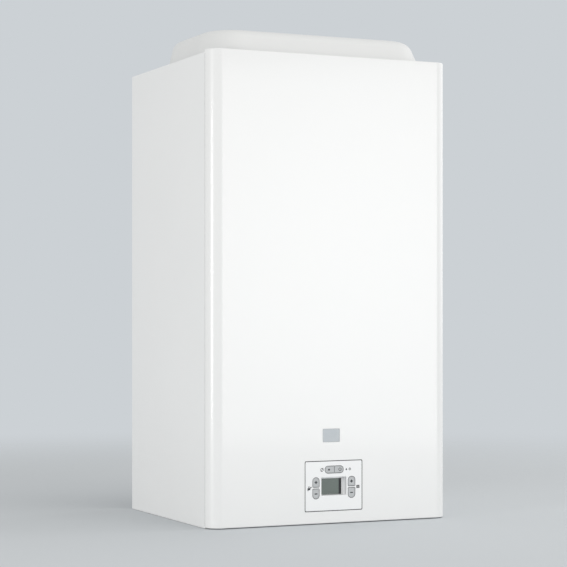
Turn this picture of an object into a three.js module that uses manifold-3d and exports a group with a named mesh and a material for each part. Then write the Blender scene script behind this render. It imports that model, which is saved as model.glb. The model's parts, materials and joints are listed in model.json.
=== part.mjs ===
// A wall-hung combi boiler with its casing, control box, combustion unit and water group.
// Millimetres. X runs to the right seen from the front, Y runs back to the wall, Z runs up.
// The origin is on the floor plane of the case, under the middle of its width and depth.

import * as THREE from "three";
import { mergeVertices } from "three/addons/utils/BufferGeometryUtils.js";
import Module from "manifold-3d";

const wasm = await Module();
wasm.setup();

// ---------------------------------------------------------------- driving dimensions

// Casing
const caseWidth = 395;
const caseDepth = 330;
const panelHeight = 700;
const panelLip = 4; // the front panel stands this much above the side panels
const cornerRadius = 20;
const sheet = 1.2;
const seam = 0.8; // open joint line round the front panel
const gap = 0.3; // between pieces that are fastened to each other
const sideFlange = 14;
const panelSeat = 0.8; // front panel's lower edge above the floor plane
const topFlange = 12;
const rearRecess = 12;
const frameDepth = 32;
const frameLift = 3;

// Moulded hood on the top
const hoodHeight = 41.5;
const hoodSideInset = 12;
const hoodFrontInset = 24;
const hoodRearSetback = 83;
const hoodBaseCorner = 60;
const hoodTopCorner = 52;
const hoodSideDraft = 11.5;
const hoodFrontDraft = 21.5;
const hoodRearDraft = 3;
const hoodFillet = 13;
const hoodWall = 3;
const hoodOpeningMargin = 12; // from the flue collar to the rim of the hood's opening

// Flue connection
const flueBore = 30; // radius
const flueWall = 2.5;
const collarBore = 50; // radius
const collarFlange = 11;
const collarFlangeHeight = 3;
const flueDrop = 24; // how far the flue rings reach below the top of the side panels
const flueRecess = 4; // how far they stay below the top of the hood

// Control box and its fascia
const controlMargin = 46; // from the side panels to the box
const controlHeight = 120;
const controlFloor = 15;
const controlDepth = 61.7;
const controlWall = 2;
const fasciaWidth = 93.6;
const fasciaHeight = 73.2;
const fasciaBottom = 20.1;
const fasciaOffset = 2.3; // fascia's centre to the right of the case's centre
const fasciaThickness = 3;
const fasciaCorner = 1.5;
const windowLeft = -20.6; // display window, from the fascia's centre
const windowRight = 21.2;
const windowBottom = 42.5;
const windowTop = 69.9;
const wellDepth = 12; // from the fascia's face to the display's back
const wellWall = 1.2;
const lensThickness = 1;
const boardThickness = 1.6;
const boardDepth = 21; // from the fascia's face to the circuit board
const boardPost = 4;
const buttonClearance = 0.3;
const buttonTravel = 1;
const buttonFlange = 0.6; // retaining lip above and below each cap
const buttonStem = 2.5;
const hingeInset = 15; // hinge axis behind the front face
const hingeHeight = 20;
const hingePin = 4; // radius
const hingeClearance = 0.4;
const hingeReach = 7;
const earGap = 1.5;
const earThickness = 3;

// Badge, gasket and panel screws
const badgeWidth = 27.8;
const badgeHeight = 19.6;
const badgeBottom = 122.2;
const badgeOffset = -1.8;
const badgeThickness = 0.6;
const gasketWidth = 8;
const gasketThickness = 5.5;
const gasketBottom = 25;
const screwShank = 2; // radius
const screwHead = 4.5; // radius
const screwInset = 24; // from the side panels
const screwCup = 7; // radius of the dimple that hides a screw head
const cupDepth = 2;
const tabWidth = 16;

// Lower rail, pipe tray and wall bracket
const railHeight = 6.2;
const railDepth = 37.7;
const trayHeight = 60;
const trayFlange = 15;
const bracketHeight = 40;
const bracketThickness = 3;
const bracketDrop = 16;
const hookWidth = 30;
const hookInset = 45;
const hookLip = 14;
const hookClearance = 2;

// Expansion vessel and the arms that carry the heat exchanger
const vesselMargin = 41;
const vesselDepth = 80;
const vesselWall = 2;
const vesselLift = 7.75; // vessel's centre above the middle of its room over the plate heat exchanger
const armMargin = 11;
const armWidth = 20;
const armHeight = 30;
const armReach = 25;
const armRise = 40; // above the axis of the heat exchanger, clear of the fan motor

// Heat exchanger, burner and fan
const fanRadius = 62;
const fanDepth = 60;
const fanSetback = 47; // fan's front behind the face of the front panel
const fanDrop = 40; // fan's axis below the axis of the heat exchanger
const fanWall = 5;
const exchangerLeftRoom = 31;
const exchangerMidRoom = 13;
const fanRightRoom = 14;
const exchangerHeadroom = 141;
const exchangerSetback = 38; // exchanger's face behind the fan's front
const coilDepth = 25;
const flameGap = 30;
const doorThickness = 12;
const lugThickness = 6;
const lugHeight = 20;
const spigotLength = 10;
const spigotInset = 5; // how far a spigot reaches into the barrel
const flowSpigotLeft = 50; // from the axis of the heat exchanger
const returnSpigotRight = 40;
const spigotSetback = 30; // return spigot in front of the exchanger's back
const drainSetback = 15;
const ductHeight = 36;
const ductDepth = 22;
const ductWall = 4;
const electrodeRadius = 5;
const shaftRadius = 4;
const motorRadius = 38;
const motorLength = 50;
const intakeDepth = 30;
const intakeWidth = 70;
const intakeHeight = 185;
const intakeWall = 2;
const gasValveHeight = 57;
const gasValveWidth = 60;

// Water group
const valveSideRoom = 76; // from the side panels to the first and last valve
const valveSetback = 145; // valves in front of the back of the case
const valveRadius = 11;
const valveFlange = 18;
const valveTail = 20; // above the tray's underside
const valveFloor = 8;
const leverDrop = 28; // lever's axis below the tray
const leverFloor = 4;
const groupSetback = 57;
const plateStackDepth = 46;
const plateStackHeight = 60;
const plateStackReach = 30;
const blockDepth = 66.7;
const diverterWidth = 50;
const diverterHeight = 70;
const diverterTravel = 8;
const actuatorHalf = 18;
const actuatorHeight = 50;
const pumpWidth = 58;
const pumpHeight = 85;
const pumpMotorRadius = 42;
const pumpMotorRoom = 24; // behind the control box; the gas pipe crosses here
const pipeRadius = 9;
const gasPipeRadius = 7;
const hoseRadius = 6;
const trapRadius = 20;
const trapHeight = 90;
const reliefReach = 30;

// ---------------------------------------------------------------- places worked out from them

const halfWidth = caseWidth / 2;
const frontFace = -caseDepth / 2;
const backFace = caseDepth / 2;
const sideHeight = panelHeight - panelLip;
const panelRear = frontFace + cornerRadius;
const sideFront = panelRear + seam;
const innerFace = halfWidth - sheet;
const fitHalf = innerFace - gap;
const fitFront = sideFront + sheet + gap;
const topPlate = sideHeight - gap;
const frameBack = backFace - rearRecess;
const frameFront = frameBack - frameDepth;
const frameTop = topPlate - sheet - gap;
const framePlate = frameBack - sheet;

const hoodBase = topPlate + gap;
const hoodTop = hoodBase + hoodHeight;
const hoodFront = frontFace + hoodFrontInset;
const hoodBack = backFace - hoodRearSetback;
const flueY = (hoodFront + hoodFrontDraft + hoodBack - hoodRearDraft) / 2;
const flueOuter = flueBore + flueWall;
const collarOuter = collarBore + flueWall;
const flueBottom = sideHeight - flueDrop;
const flueTop = hoodTop - flueRecess;

const controlHalf = fitHalf - controlMargin;
const controlFront = frontFace + fasciaThickness + gap;
const controlRear = controlFront + controlDepth;
const hingeY = frontFace + hingeInset;
const boardFront = frontFace + boardDepth;
const tabCentre = fitHalf - screwInset;

const vesselRadius = fitHalf - vesselMargin;
const vesselBack = framePlate - gap;
const vesselFront = vesselBack - vesselDepth;
const armFront = vesselFront - armReach;
const armInner = fitHalf - armMargin - armWidth;

const fanX = fitHalf - fanRightRoom - fanRadius;
const exchangerRadius = fitHalf - fanRadius - (exchangerLeftRoom + exchangerMidRoom + fanRightRoom) / 2;
const exchangerX = -fitHalf + exchangerLeftRoom + exchangerRadius;
const exchangerZ = sideHeight - exchangerHeadroom - exchangerRadius;
const fanZ = exchangerZ - fanDrop;
const fanFront = frontFace + fanSetback;
const exchangerFront = fanFront + exchangerSetback;
const exchangerBack = armFront - gap - lugThickness;
const exchangerMid = (exchangerFront + exchangerBack) / 2;
const exchangerBottom = exchangerZ - exchangerRadius;
const cavityRadius = exchangerRadius - coilDepth;
const burnerRadius = cavityRadius - flameGap;
const doorBack = exchangerFront - gap;
const doorFront = doorBack - doorThickness;
const ductFront = fanFront + 2;
const ductEnd = exchangerX + exchangerRadius + 5;
const stubTop = exchangerZ + exchangerRadius + 1;
const spigotBottom = exchangerBottom - spigotLength;
const flowSpigotX = exchangerX - flowSpigotLeft;
const flowSpigotY = exchangerFront + (exchangerBack - exchangerFront) / 3;
const returnSpigotX = exchangerX + returnSpigotRight;
const returnSpigotY = exchangerBack - spigotSetback;
const drainY = exchangerBack - drainSetback;
const padBottom = fanZ - fanRadius;
const gasValveTop = padBottom - gap;
const gasValveBottom = gasValveTop - gasValveHeight;

const trayTop = trayHeight + sheet;
const trayFront = controlRear + 5;
const valveY = backFace - valveSetback;
const valvePitch = (2 * fitHalf - 2 * valveSideRoom) / 4;
const valvePlaces = [-2, -1, 0, 1, 2].map((step) => step * valvePitch);
const [chFlowX, hotWaterX, gasX, coldInletX, chReturnX] = valvePlaces;
const tailTop = trayHeight + valveTail;
const blockBottom = tailTop + gap;
const leverZ = trayHeight - leverDrop;
const stackBack = backFace - groupSetback;
const stackFront = stackBack - plateStackDepth;
const stackBottom = blockBottom + 10;
const stackPort = stackBottom + 20;
const vesselZ = (stackBottom + plateStackHeight + frameTop) / 2 + vesselLift;
const blockBack = stackFront - gap;
const blockFront = blockBack - blockDepth;
const diverterTop = blockBottom + diverterHeight;
const pumpLeft = chReturnX - pumpWidth / 2 + 1;
const pumpRight = pumpLeft + pumpWidth;
const pumpTop = blockBottom + pumpHeight;
const pumpZ = blockBottom + 45;
const pumpMotorFront = controlRear + pumpMotorRoom;
const pumpMotorBack = blockFront - gap;
const trapX = -fitHalf + 28;
const trapY = valveY + 20;
const trapTop = trayTop + gap + trapHeight;
const reliefX = pumpRight + gap + reliefReach / 2 + 3;
const reliefY = valveY + 10;
const reliefZ = blockBottom + 60;

// ---------------------------------------------------------------- materials

function standard(color, roughness, metalness) {
  return new THREE.MeshStandardMaterial({ color, roughness, metalness });
}

const casePaint = standard(0xf1f2f3, 0.38, 0);
const hoodPlastic = standard(0xe4e6e8, 0.5, 0);
const fasciaPlastic = standard(0xf6f7f7, 0.3, 0);
const buttonRubber = standard(0xc9cbcc, 0.6, 0);
const displayGlass = standard(0x6f7d76, 0.15, 0);
const boxPlastic = standard(0xb9bdbf, 0.6, 0);
const boardLaminate = standard(0x2f6b46, 0.5, 0);
const badgeMetal = standard(0xd9dcdd, 0.35, 0.6);
const galvanised = standard(0xa9aeb1, 0.45, 0.9);
const stainless = standard(0xb7b9ba, 0.35, 1);
const castAluminium = standard(0x9fa3a5, 0.55, 0.9);
const copper = standard(0xb9714a, 0.35, 1);
const brass = standard(0xb79a55, 0.4, 1);
const redPaint = standard(0xb3241f, 0.45, 0);
const blackPlastic = standard(0x222426, 0.55, 0);
const yellowPlastic = standard(0xd8b02a, 0.5, 0);
const foam = standard(0x3a3c3e, 0.95, 0);
const ceramic = standard(0xe9e5da, 0.4, 0);

// ---------------------------------------------------------------- solid helpers

function solidOf(geometry) {
  geometry.deleteAttribute("normal");
  geometry.deleteAttribute("uv");
  const merged = mergeVertices(geometry, 1e-4);
  const mesh = new wasm.Mesh({
    numProp: 3,
    vertProperties: new Float32Array(merged.attributes.position.array),
    triVerts: new Uint32Array(merged.index.array),
  });
  return new wasm.Manifold(mesh);
}

function join(...solids) {
  return wasm.Manifold.union(solids);
}

function cut(solid, ...tools) {
  return wasm.Manifold.difference([solid, ...tools]);
}

// A block between two values on each axis.
function block([x0, x1], [y0, y1], [z0, z1]) {
  const geometry = new THREE.BoxGeometry(x1 - x0, y1 - y0, z1 - z0);
  geometry.translate((x0 + x1) / 2, (y0 + y1) / 2, (z0 + z1) / 2);
  return solidOf(geometry);
}

// Cylinders along each axis, between two values on that axis.
function rodY(radius, [y0, y1], x = 0, z = 0, sides = 16) {
  const geometry = new THREE.CylinderGeometry(radius, radius, y1 - y0, sides);
  geometry.translate(x, (y0 + y1) / 2, z);
  return solidOf(geometry);
}

function rodZ(radius, [z0, z1], x = 0, y = 0, sides = 16) {
  const geometry = new THREE.CylinderGeometry(radius, radius, z1 - z0, sides);
  geometry.rotateX(Math.PI / 2);
  geometry.translate(x, y, (z0 + z1) / 2);
  return solidOf(geometry);
}

function rodX(radius, [x0, x1], y = 0, z = 0, sides = 16) {
  const geometry = new THREE.CylinderGeometry(radius, radius, x1 - x0, sides);
  geometry.rotateZ(Math.PI / 2);
  geometry.translate((x0 + x1) / 2, y, z);
  return solidOf(geometry);
}

// A ring standing along Z.
function ringZ(inner, outer, [z0, z1], x = 0, y = 0, sides = 32) {
  return cut(rodZ(outer, [z0, z1], x, y, sides), rodZ(inner, [z0 - 1, z1 + 1], x, y, sides));
}

// A turned piece about the Y axis; the profile lists [radius, y] from the front to the back.
function turned(profile, sides = 32) {
  const points = profile.map(([radius, y]) => new THREE.Vector2(radius, y));
  return solidOf(new THREE.LatheGeometry(points, sides));
}

// A flat outline in X and Y pulled up along Z.
function pulledUp(shape, [z0, z1], curveSegments = 4) {
  const geometry = new THREE.ExtrudeGeometry(shape, { depth: z1 - z0, bevelEnabled: false, curveSegments });
  geometry.translate(0, 0, z0);
  return solidOf(geometry);
}

// A flat outline in X and Z pulled back along Y.
function pulledBack(shape, [y0, y1], curveSegments = 2) {
  const geometry = new THREE.ExtrudeGeometry(shape, { depth: y1 - y0, bevelEnabled: false, curveSegments });
  geometry.rotateX(Math.PI / 2);
  geometry.translate(0, y1, 0);
  return solidOf(geometry);
}

// A rectangle whose corners have their own radii: top left, top right, bottom right, bottom left.
function cornered([x0, x1], [y0, y1], [topLeft, topRight, bottomRight, bottomLeft]) {
  const shape = new THREE.Shape();
  shape.moveTo(x0 + bottomLeft, y0);
  shape.absarc(x1 - bottomRight, y0 + bottomRight, bottomRight, 1.5 * Math.PI, 2 * Math.PI);
  shape.absarc(x1 - topRight, y1 - topRight, topRight, 0, 0.5 * Math.PI);
  shape.absarc(x0 + topLeft, y1 - topLeft, topLeft, 0.5 * Math.PI, Math.PI);
  shape.absarc(x0 + bottomLeft, y0 + bottomLeft, bottomLeft, Math.PI, 1.5 * Math.PI);
  return shape;
}

// A round bar that follows points through smooth bends.
function bar(points, radius, bore = 0, steps = 14, halfSides = 5) {
  const route = new THREE.CatmullRomCurve3(points.map((point) => new THREE.Vector3(...point)));
  const section = new THREE.Shape();
  section.absarc(0, 0, radius, 0, 2 * Math.PI);
  if (bore > 0) {
    const hole = new THREE.Path();
    hole.absarc(0, 0, bore, 0, 2 * Math.PI, true);
    section.holes.push(hole);
  }
  const settings = { steps, extrudePath: route, curveSegments: halfSides };
  return solidOf(new THREE.ExtrudeGeometry(section, settings));
}

// A mesh with a name and a material, at its place.
function piece(name, solid, material, place = [0, 0, 0]) {
  const data = solid.getMesh();
  const geometry = new THREE.BufferGeometry();
  geometry.setAttribute("position", new THREE.BufferAttribute(new Float32Array(data.vertProperties), 3));
  geometry.setIndex(new THREE.BufferAttribute(new Uint32Array(data.triVerts), 1));
  geometry.computeVertexNormals();
  const mesh = new THREE.Mesh(geometry, material);
  mesh.name = name;
  mesh.position.set(...place);
  return mesh;
}

function groupOf(place, ...members) {
  const group = new THREE.Group();
  group.position.set(...place);
  group.add(...members);
  return group;
}

// The same shape on both sides of the case.
function bothSides(make) {
  return [make(-1), make(1)];
}

// A span on the X axis, mirrored with the side.
function sideSpan(side, near, far) {
  return side > 0 ? [near, far] : [-far, -near];
}

// ---------------------------------------------------------------- casing

function sidePanel(side) {
  const name = side < 0 ? "side_panel_left" : "side_panel_right";
  const skin = block(sideSpan(side, innerFace, halfWidth), [sideFront, backFace], [0, sideHeight]);
  const flangeSpan = sideSpan(side, halfWidth - sideFlange, halfWidth);
  const flange = block(flangeSpan, [sideFront, sideFront + sheet], [0, sideHeight]);
  return piece(name, join(skin, flange), casePaint);
}

function topPanel() {
  const under = topPlate - sheet - topFlange;
  const outer = block([-fitHalf, fitHalf], [fitFront, frameFront - gap], [under, topPlate]);
  const hollow = block(
    [-fitHalf + sheet, fitHalf - sheet],
    [fitFront + sheet, frameFront],
    [under - 1, topPlate - sheet]
  );
  const rear = block([-fitHalf, fitHalf], [frameFront - 1, backFace - gap], [topPlate - sheet, topPlate]);
  const flueHole = rodZ(collarOuter + gap, [under, topPlate + 1], 0, flueY, 40);
  return piece("top_panel", cut(join(cut(outer, hollow), rear), flueHole), galvanised);
}

function backFrame() {
  const outer = block([-fitHalf, fitHalf], [frameFront, frameBack], [frameLift, frameTop]);
  const hollow = block(
    [-fitHalf + sheet, fitHalf - sheet],
    [frameFront - 1, framePlate],
    [frameLift + sheet, frameTop - sheet]
  );
  const slotTop = sideHeight - bracketDrop - 1 + gap;
  const slots = bothSides((side) => {
    const centre = side * (controlHalf - hookInset);
    const reach = hookWidth / 2 + hookClearance;
    const span = [centre - reach, centre + reach];
    return block(span, [framePlate - 1, frameBack + 1], [slotTop - hookLip - 4, slotTop]);
  });
  const arms = bothSides((side) => {
    const heights = [exchangerZ + armRise - armHeight / 2, exchangerZ + armRise + armHeight / 2];
    return block(sideSpan(side, armInner, armInner + armWidth), [armFront, framePlate + 0.5], heights);
  });
  return piece("back_frame", join(cut(outer, hollow, ...slots), ...arms), galvanised);
}

function wallBracket() {
  const top = sideHeight - bracketDrop;
  const plate = block(
    [-controlHalf, controlHalf],
    [backFace - bracketThickness, backFace],
    [top - bracketHeight, top]
  );
  const hooks = bothSides((side) => {
    const centre = side * (controlHalf - hookInset);
    const span = [centre - hookWidth / 2, centre + hookWidth / 2];
    const lipFront = framePlate - hookClearance - bracketThickness;
    const tongue = block(span, [lipFront, backFace - 1], [top - 1 - bracketThickness, top - 1]);
    const lip = block(span, [lipFront, lipFront + bracketThickness], [top - 3, top - 4 + hookLip]);
    return join(tongue, lip);
  });
  return piece("wall_bracket", join(plate, ...hooks), galvanised);
}

function lowerRail() {
  const rear = fitFront + railDepth;
  const outer = block([-fitHalf, fitHalf], [fitFront, rear], [1, railHeight]);
  const hollow = block([-fitHalf + 2, fitHalf - 2], [fitFront + sheet, rear - sheet], [0, railHeight - sheet]);
  const pieces = bothSides((side) => {
    const tabSpan = [side * tabCentre - tabWidth / 2, side * tabCentre + tabWidth / 2];
    const slotSpan = [side * tabCentre - screwShank - 1, side * tabCentre + screwShank + 1];
    const tab = block(tabSpan, [frontFace + 5, fitFront + 1], [railHeight - sheet, railHeight]);
    const slot = block(slotSpan, [frontFace, panelRear - 3], [0, railHeight + 1]);
    const earSpan = sideSpan(side, controlHalf + earGap, controlHalf + earGap + earThickness);
    const ear = block(earSpan, [hingeY - 8, fitFront + 15], [railHeight - 1, hingeHeight + 8]);
    const bore = rodX(hingePin + hingeClearance, [earSpan[0] - 1, earSpan[1] + 1], hingeY, hingeHeight);
    return join(cut(tab, slot), cut(ear, bore));
  });
  return piece("lower_rail", join(cut(outer, hollow), ...pieces), galvanised);
}

function pipeTray() {
  const rear = frameFront - gap;
  const outer = block([-fitHalf, fitHalf], [trayFront, rear], [trayHeight, trayTop + trayFlange]);
  const hollow = block(
    [-fitHalf + sheet, fitHalf - sheet],
    [trayFront + sheet, rear - sheet],
    [trayTop, trayTop + trayFlange + 1]
  );
  const span = [trayHeight - 1, trayTop + 1];
  const holes = valvePlaces.map((x) => rodZ(valveRadius + 0.5, span, x, valveY, 20));
  const drain = rodZ(8.5, span, trapX, trapY, 16);
  const discharge = rodZ(8.5, span, reliefX, reliefY, 16);
  const gland = rodZ(9, [trayHeight - 10, trayTop + 12], fitHalf - 26, trayFront + 30, 16);
  return piece("pipe_tray", join(cut(outer, hollow, ...holes, drain, discharge), gland), galvanised);
}

// The outline of the front panel seen from above, with its two rounded corners.
function panelOutline(inset) {
  const half = halfWidth - inset;
  const radius = cornerRadius - inset;
  const shape = new THREE.Shape();
  shape.moveTo(-half, panelRear);
  shape.absarc(-half + radius, frontFace + cornerRadius, radius, Math.PI, 1.5 * Math.PI);
  shape.absarc(half - radius, frontFace + cornerRadius, radius, 1.5 * Math.PI, 2 * Math.PI);
  shape.lineTo(-half, panelRear);
  return shape;
}

function frontPanel() {
  const outer = pulledUp(panelOutline(0), [panelSeat, panelHeight]);
  const inner = pulledUp(panelOutline(sheet), [panelSeat + sheet, panelHeight - sheet]);
  const open = block(
    [-innerFace, innerFace],
    [panelRear - 1, panelRear + 1],
    [panelSeat + sheet, panelHeight - sheet]
  );
  const middle = fasciaOffset;
  const apertureHalf = fasciaWidth / 2 + seam;
  const aperture = cornered(
    [middle - apertureHalf, middle + apertureHalf],
    [fasciaBottom - seam, fasciaBottom + fasciaHeight + seam],
    Array(4).fill(fasciaCorner + seam)
  );
  const window = pulledBack(aperture, [frontFace - 1, frontFace + sheet + 1]);
  const badgeSpan = [badgeOffset - badgeWidth / 2, badgeOffset + badgeWidth / 2];
  const badgeHeights = [badgeBottom, badgeBottom + badgeHeight];
  const grow = ([low, high], by) => [low - by, high + by];
  const padDepths = [frontFace + sheet - 0.2, frontFace + sheet + 1];
  const pad = block(grow(badgeSpan, 2), padDepths, grow(badgeHeights, 2));
  const pocket = block(
    grow(badgeSpan, gap),
    [frontFace - 1, frontFace + badgeThickness + gap],
    grow(badgeHeights, gap)
  );
  const atScrews = (radius, [low, high]) => {
    return bothSides((side) => rodZ(radius, [panelSeat + low, panelSeat + high], side * tabCentre, screwY()));
  };
  const cups = atScrews(screwCup + sheet, [0, cupDepth + sheet]);
  const dimples = atScrews(screwCup, [-1, cupDepth]);
  const holes = atScrews(screwShank + gap, [0, cupDepth + sheet + 1]);
  const shell = join(cut(outer, inner, open, window), pad, ...cups);
  return piece("front_panel", cut(shell, pocket, ...dimples, ...holes), casePaint);
}

function screwY() {
  return frontFace + cornerRadius / 2 + 1;
}

function panelScrew(side) {
  const name = side < 0 ? "panel_screw_left" : "panel_screw_right";
  const head = rodZ(screwHead, [0, 1.9 - gap], 0, 0, 20);
  const shank = rodZ(screwShank, [0.5, railHeight + 4], 0, 0, 12);
  return piece(name, join(head, shank), stainless, [side * tabCentre, screwY(), panelSeat + 0.1]);
}

function badgePlate() {
  const thickness = badgeThickness;
  const span = [-badgeWidth / 2, badgeWidth / 2];
  const plate = block(span, [0, thickness], [0, badgeHeight]);
  return piece("badge_plate", plate, badgeMetal, [badgeOffset, frontFace, badgeBottom]);
}

function panelGasket() {
  const rear = sideFront - gap;
  const top = sideHeight - 2;
  const reach = panelRear - rear + gasketThickness; // its front corner lies this deep in the rounded corner
  const half = halfWidth - cornerRadius + Math.sqrt((cornerRadius - sheet) ** 2 - reach ** 2) - gap;
  const outer = block([-half, half], [rear - gasketThickness, rear], [gasketBottom, top]);
  const inner = block(
    [-half + gasketWidth, half - gasketWidth],
    [rear - gasketThickness - 1, rear + 1],
    [gasketBottom - 1, top - gasketWidth]
  );
  return piece("panel_gasket", cut(outer, inner), foam);
}

// ---------------------------------------------------------------- hood

// The points of a rounded rectangle, in order.
function roundedRing(x0, x1, y0, y1, radius, height, steps = 5) {
  const corners = [
    [x1 - radius, y0 + radius, 1.5],
    [x1 - radius, y1 - radius, 0],
    [x0 + radius, y1 - radius, 0.5],
    [x0 + radius, y0 + radius, 1],
  ];
  const points = [];
  for (const [x, y, turn] of corners) {
    for (let step = 0; step <= steps; step += 1) {
      const angle = Math.PI * (turn + (0.5 * step) / steps);
      points.push([x + radius * Math.cos(angle), y + radius * Math.sin(angle), height]);
    }
  }
  return points;
}

// A closed solid through a stack of rings with equal point counts, capped flat at both ends.
function stacked(rings) {
  const count = rings[0].length;
  const positions = rings.flat(2);
  const indices = [];
  for (let level = 0; level + 1 < rings.length; level += 1) {
    for (let i = 0; i < count; i += 1) {
      const next = (i + 1) % count;
      const a = level * count + i;
      const b = level * count + next;
      indices.push(a, b, b + count, a, b + count, a + count);
    }
  }
  const last = (rings.length - 1) * count;
  for (let i = 1; i + 1 < count; i += 1) {
    indices.push(0, i + 1, i);
    indices.push(last, last + i, last + i + 1);
  }
  const geometry = new THREE.BufferGeometry();
  geometry.setAttribute("position", new THREE.Float32BufferAttribute(positions, 3));
  geometry.setIndex(indices);
  return solidOf(geometry);
}

// The tapered body of the hood, drawn in by a wall where it is the hollow.
function hoodBody(wall, floor) {
  const height = hoodHeight - wall;
  const shoulder = height - hoodFillet;
  const ring = (z, inset, share) => {
    const side = halfWidth - hoodSideInset - wall - hoodSideDraft * share - inset;
    const front = hoodFront + wall + hoodFrontDraft * share + inset;
    const back = hoodBack - wall - hoodRearDraft * share - inset;
    const corner = hoodBaseCorner + (hoodTopCorner - hoodBaseCorner) * share - wall - inset;
    return roundedRing(-side, side, front, back, corner, z);
  };
  const rings = [ring(floor, 0, 0), ring(shoulder, 0, shoulder / height)];
  const steps = 4;
  for (let step = 1; step <= steps; step += 1) {
    const angle = (0.5 * Math.PI * step) / steps;
    const rise = hoodFillet * Math.sin(angle);
    const share = (shoulder + rise) / height;
    rings.push(ring(shoulder + rise, hoodFillet * (1 - Math.cos(angle)), share));
  }
  return stacked(rings);
}

function topHood() {
  const opening = rodZ(collarOuter + hoodOpeningMargin, [0, hoodHeight + 1], 0, flueY, 40);
  const shell = cut(hoodBody(0, 0), hoodBody(hoodWall, -1), opening);
  return piece("top_hood", shell, hoodPlastic, [0, 0, hoodBase]);
}

// ---------------------------------------------------------------- flue

function flueCollar() {
  const tube = ringZ(collarBore, collarOuter, [flueBottom, flueTop]);
  const flange = ringZ(collarBore, collarOuter + collarFlange, [hoodBase, hoodBase + collarFlangeHeight]);
  return piece("flue_collar", join(tube, flange), blackPlastic, [0, flueY, 0]);
}

function flueSocket() {
  const tube = ringZ(flueBore, flueOuter, [flueBottom, flueTop]);
  const ribs = [0, 1, 2].map((step) => {
    const rib = block([flueOuter - 1, collarBore - gap], [-1.5, 1.5], [flueBottom + 3, flueBottom + 18]);
    return rib.rotate([0, 0, 90 + 120 * step]);
  });
  return piece("flue_socket", join(tube, ...ribs), blackPlastic, [0, flueY, 0]);
}

function flueDuct() {
  const bottom = stubTop + gap;
  const top = flueBottom - gap;
  const rise = (top - bottom) / 5;
  const route = [
    [exchangerX, exchangerMid, bottom],
    [exchangerX, exchangerMid, bottom + rise],
    [0, flueY, top - rise],
    [0, flueY, top],
  ];
  return piece("flue_duct", bar(route, flueOuter, flueBore, 12, 8), blackPlastic);
}

// ---------------------------------------------------------------- combustion unit

function heatExchanger() {
  const length = exchangerBack - exchangerFront;
  const bands = 3;
  const pitch = length / bands;
  const profile = [[0, 0]];
  for (let band = 0; band < bands; band += 1) {
    profile.push([exchangerRadius, band * pitch]);
    profile.push([exchangerRadius, (band + 0.7) * pitch]);
    profile.push([exchangerRadius - 4, (band + 0.78) * pitch]);
    profile.push([exchangerRadius - 4, (band + 0.92) * pitch]);
  }
  profile.push([exchangerRadius - 4, length], [0, length]);
  const barrel = turned(profile, 24);
  const cavity = rodY(cavityRadius, [-1, length - 10]);
  const lugHalf = [-tabCentre - exchangerX, tabCentre - exchangerX];
  const lugHeights = [armRise - lugHeight / 2, armRise + lugHeight / 2];
  const lug = block(lugHalf, [length - 1, length + lugThickness], lugHeights);
  const middle = length / 2;
  const stub = rodZ(flueOuter, [cavityRadius + 4, exchangerRadius + 1], 0, middle);
  const stubBore = rodZ(flueBore, [cavityRadius / 2, exchangerRadius + 2], 0, middle);
  const spigot = (x, y) => {
    const top = spigotInset - Math.sqrt((exchangerRadius - spigotInset) ** 2 - x ** 2);
    return rodZ(pipeRadius, [-exchangerRadius - spigotLength, top], x, y, 14);
  };
  const spigots = [
    spigot(-flowSpigotLeft, flowSpigotY - exchangerFront),
    spigot(returnSpigotRight, returnSpigotY - exchangerFront),
    spigot(0, drainY - exchangerFront),
  ];
  const body = cut(join(barrel, lug, stub, ...spigots), stubBore, cavity);
  return piece("heat_exchanger", body, stainless, [exchangerX, exchangerFront, exchangerZ]);
}

function burnerDoor() {
  const disc = rodY(exchangerRadius - 7, [0, doorThickness], 0, 0, 32);
  const start = ductFront - doorFront;
  const ductSpan = [-ductHeight / 2, ductEnd - gap - exchangerX];
  const duct = block(ductSpan, [start, 1], [-ductHeight / 2, ductHeight / 2]);
  const bore = block(
    [-ductHeight / 2 + ductWall, ductEnd - exchangerX],
    [start + ductWall, start + ductDepth - ductWall],
    [-ductHeight / 2 + ductWall, ductHeight / 2 - ductWall]
  );
  const mouth = rodY(ductHeight / 2 - ductWall, [start + ductWall + 1, doorThickness + 1]);
  const electrodeHole = rodY(electrodeRadius + gap, [-1, doorThickness + 1], 0, electrodeOffset(), 12);
  const bolts = [0.25, 0.75, 1.25, 1.75].map((turn) => {
    const angle = turn * Math.PI;
    const reach = exchangerRadius - 15;
    return rodY(5, [-4, 1], reach * Math.cos(angle), reach * Math.sin(angle), 6);
  });
  const body = cut(join(disc, duct, ...bolts), bore, mouth, electrodeHole);
  return piece("burner_door", body, castAluminium, [exchangerX, doorFront, exchangerZ]);
}

function electrodeOffset() {
  return (cavityRadius + burnerRadius) / 2;
}

function burnerTube() {
  const length = exchangerBack - exchangerFront - 30;
  const tube = rodY(burnerRadius, [0, length], 0, 0, 28);
  const bore = rodY(burnerRadius - 2, [-1, length - 2], 0, 0, 28);
  return piece("burner_tube", cut(tube, bore), stainless, [exchangerX, exchangerFront, exchangerZ]);
}

function ignitionElectrode() {
  const insulator = rodY(electrodeRadius, [-14, doorThickness + 6], 0, 0, 12);
  const tip = rodY(1.5, [doorThickness + 5, doorThickness + 26], 0, 0, 8);
  const body = join(insulator, tip);
  return piece("ignition_electrode", body, ceramic, [exchangerX, doorFront, exchangerZ + electrodeOffset()]);
}

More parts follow.
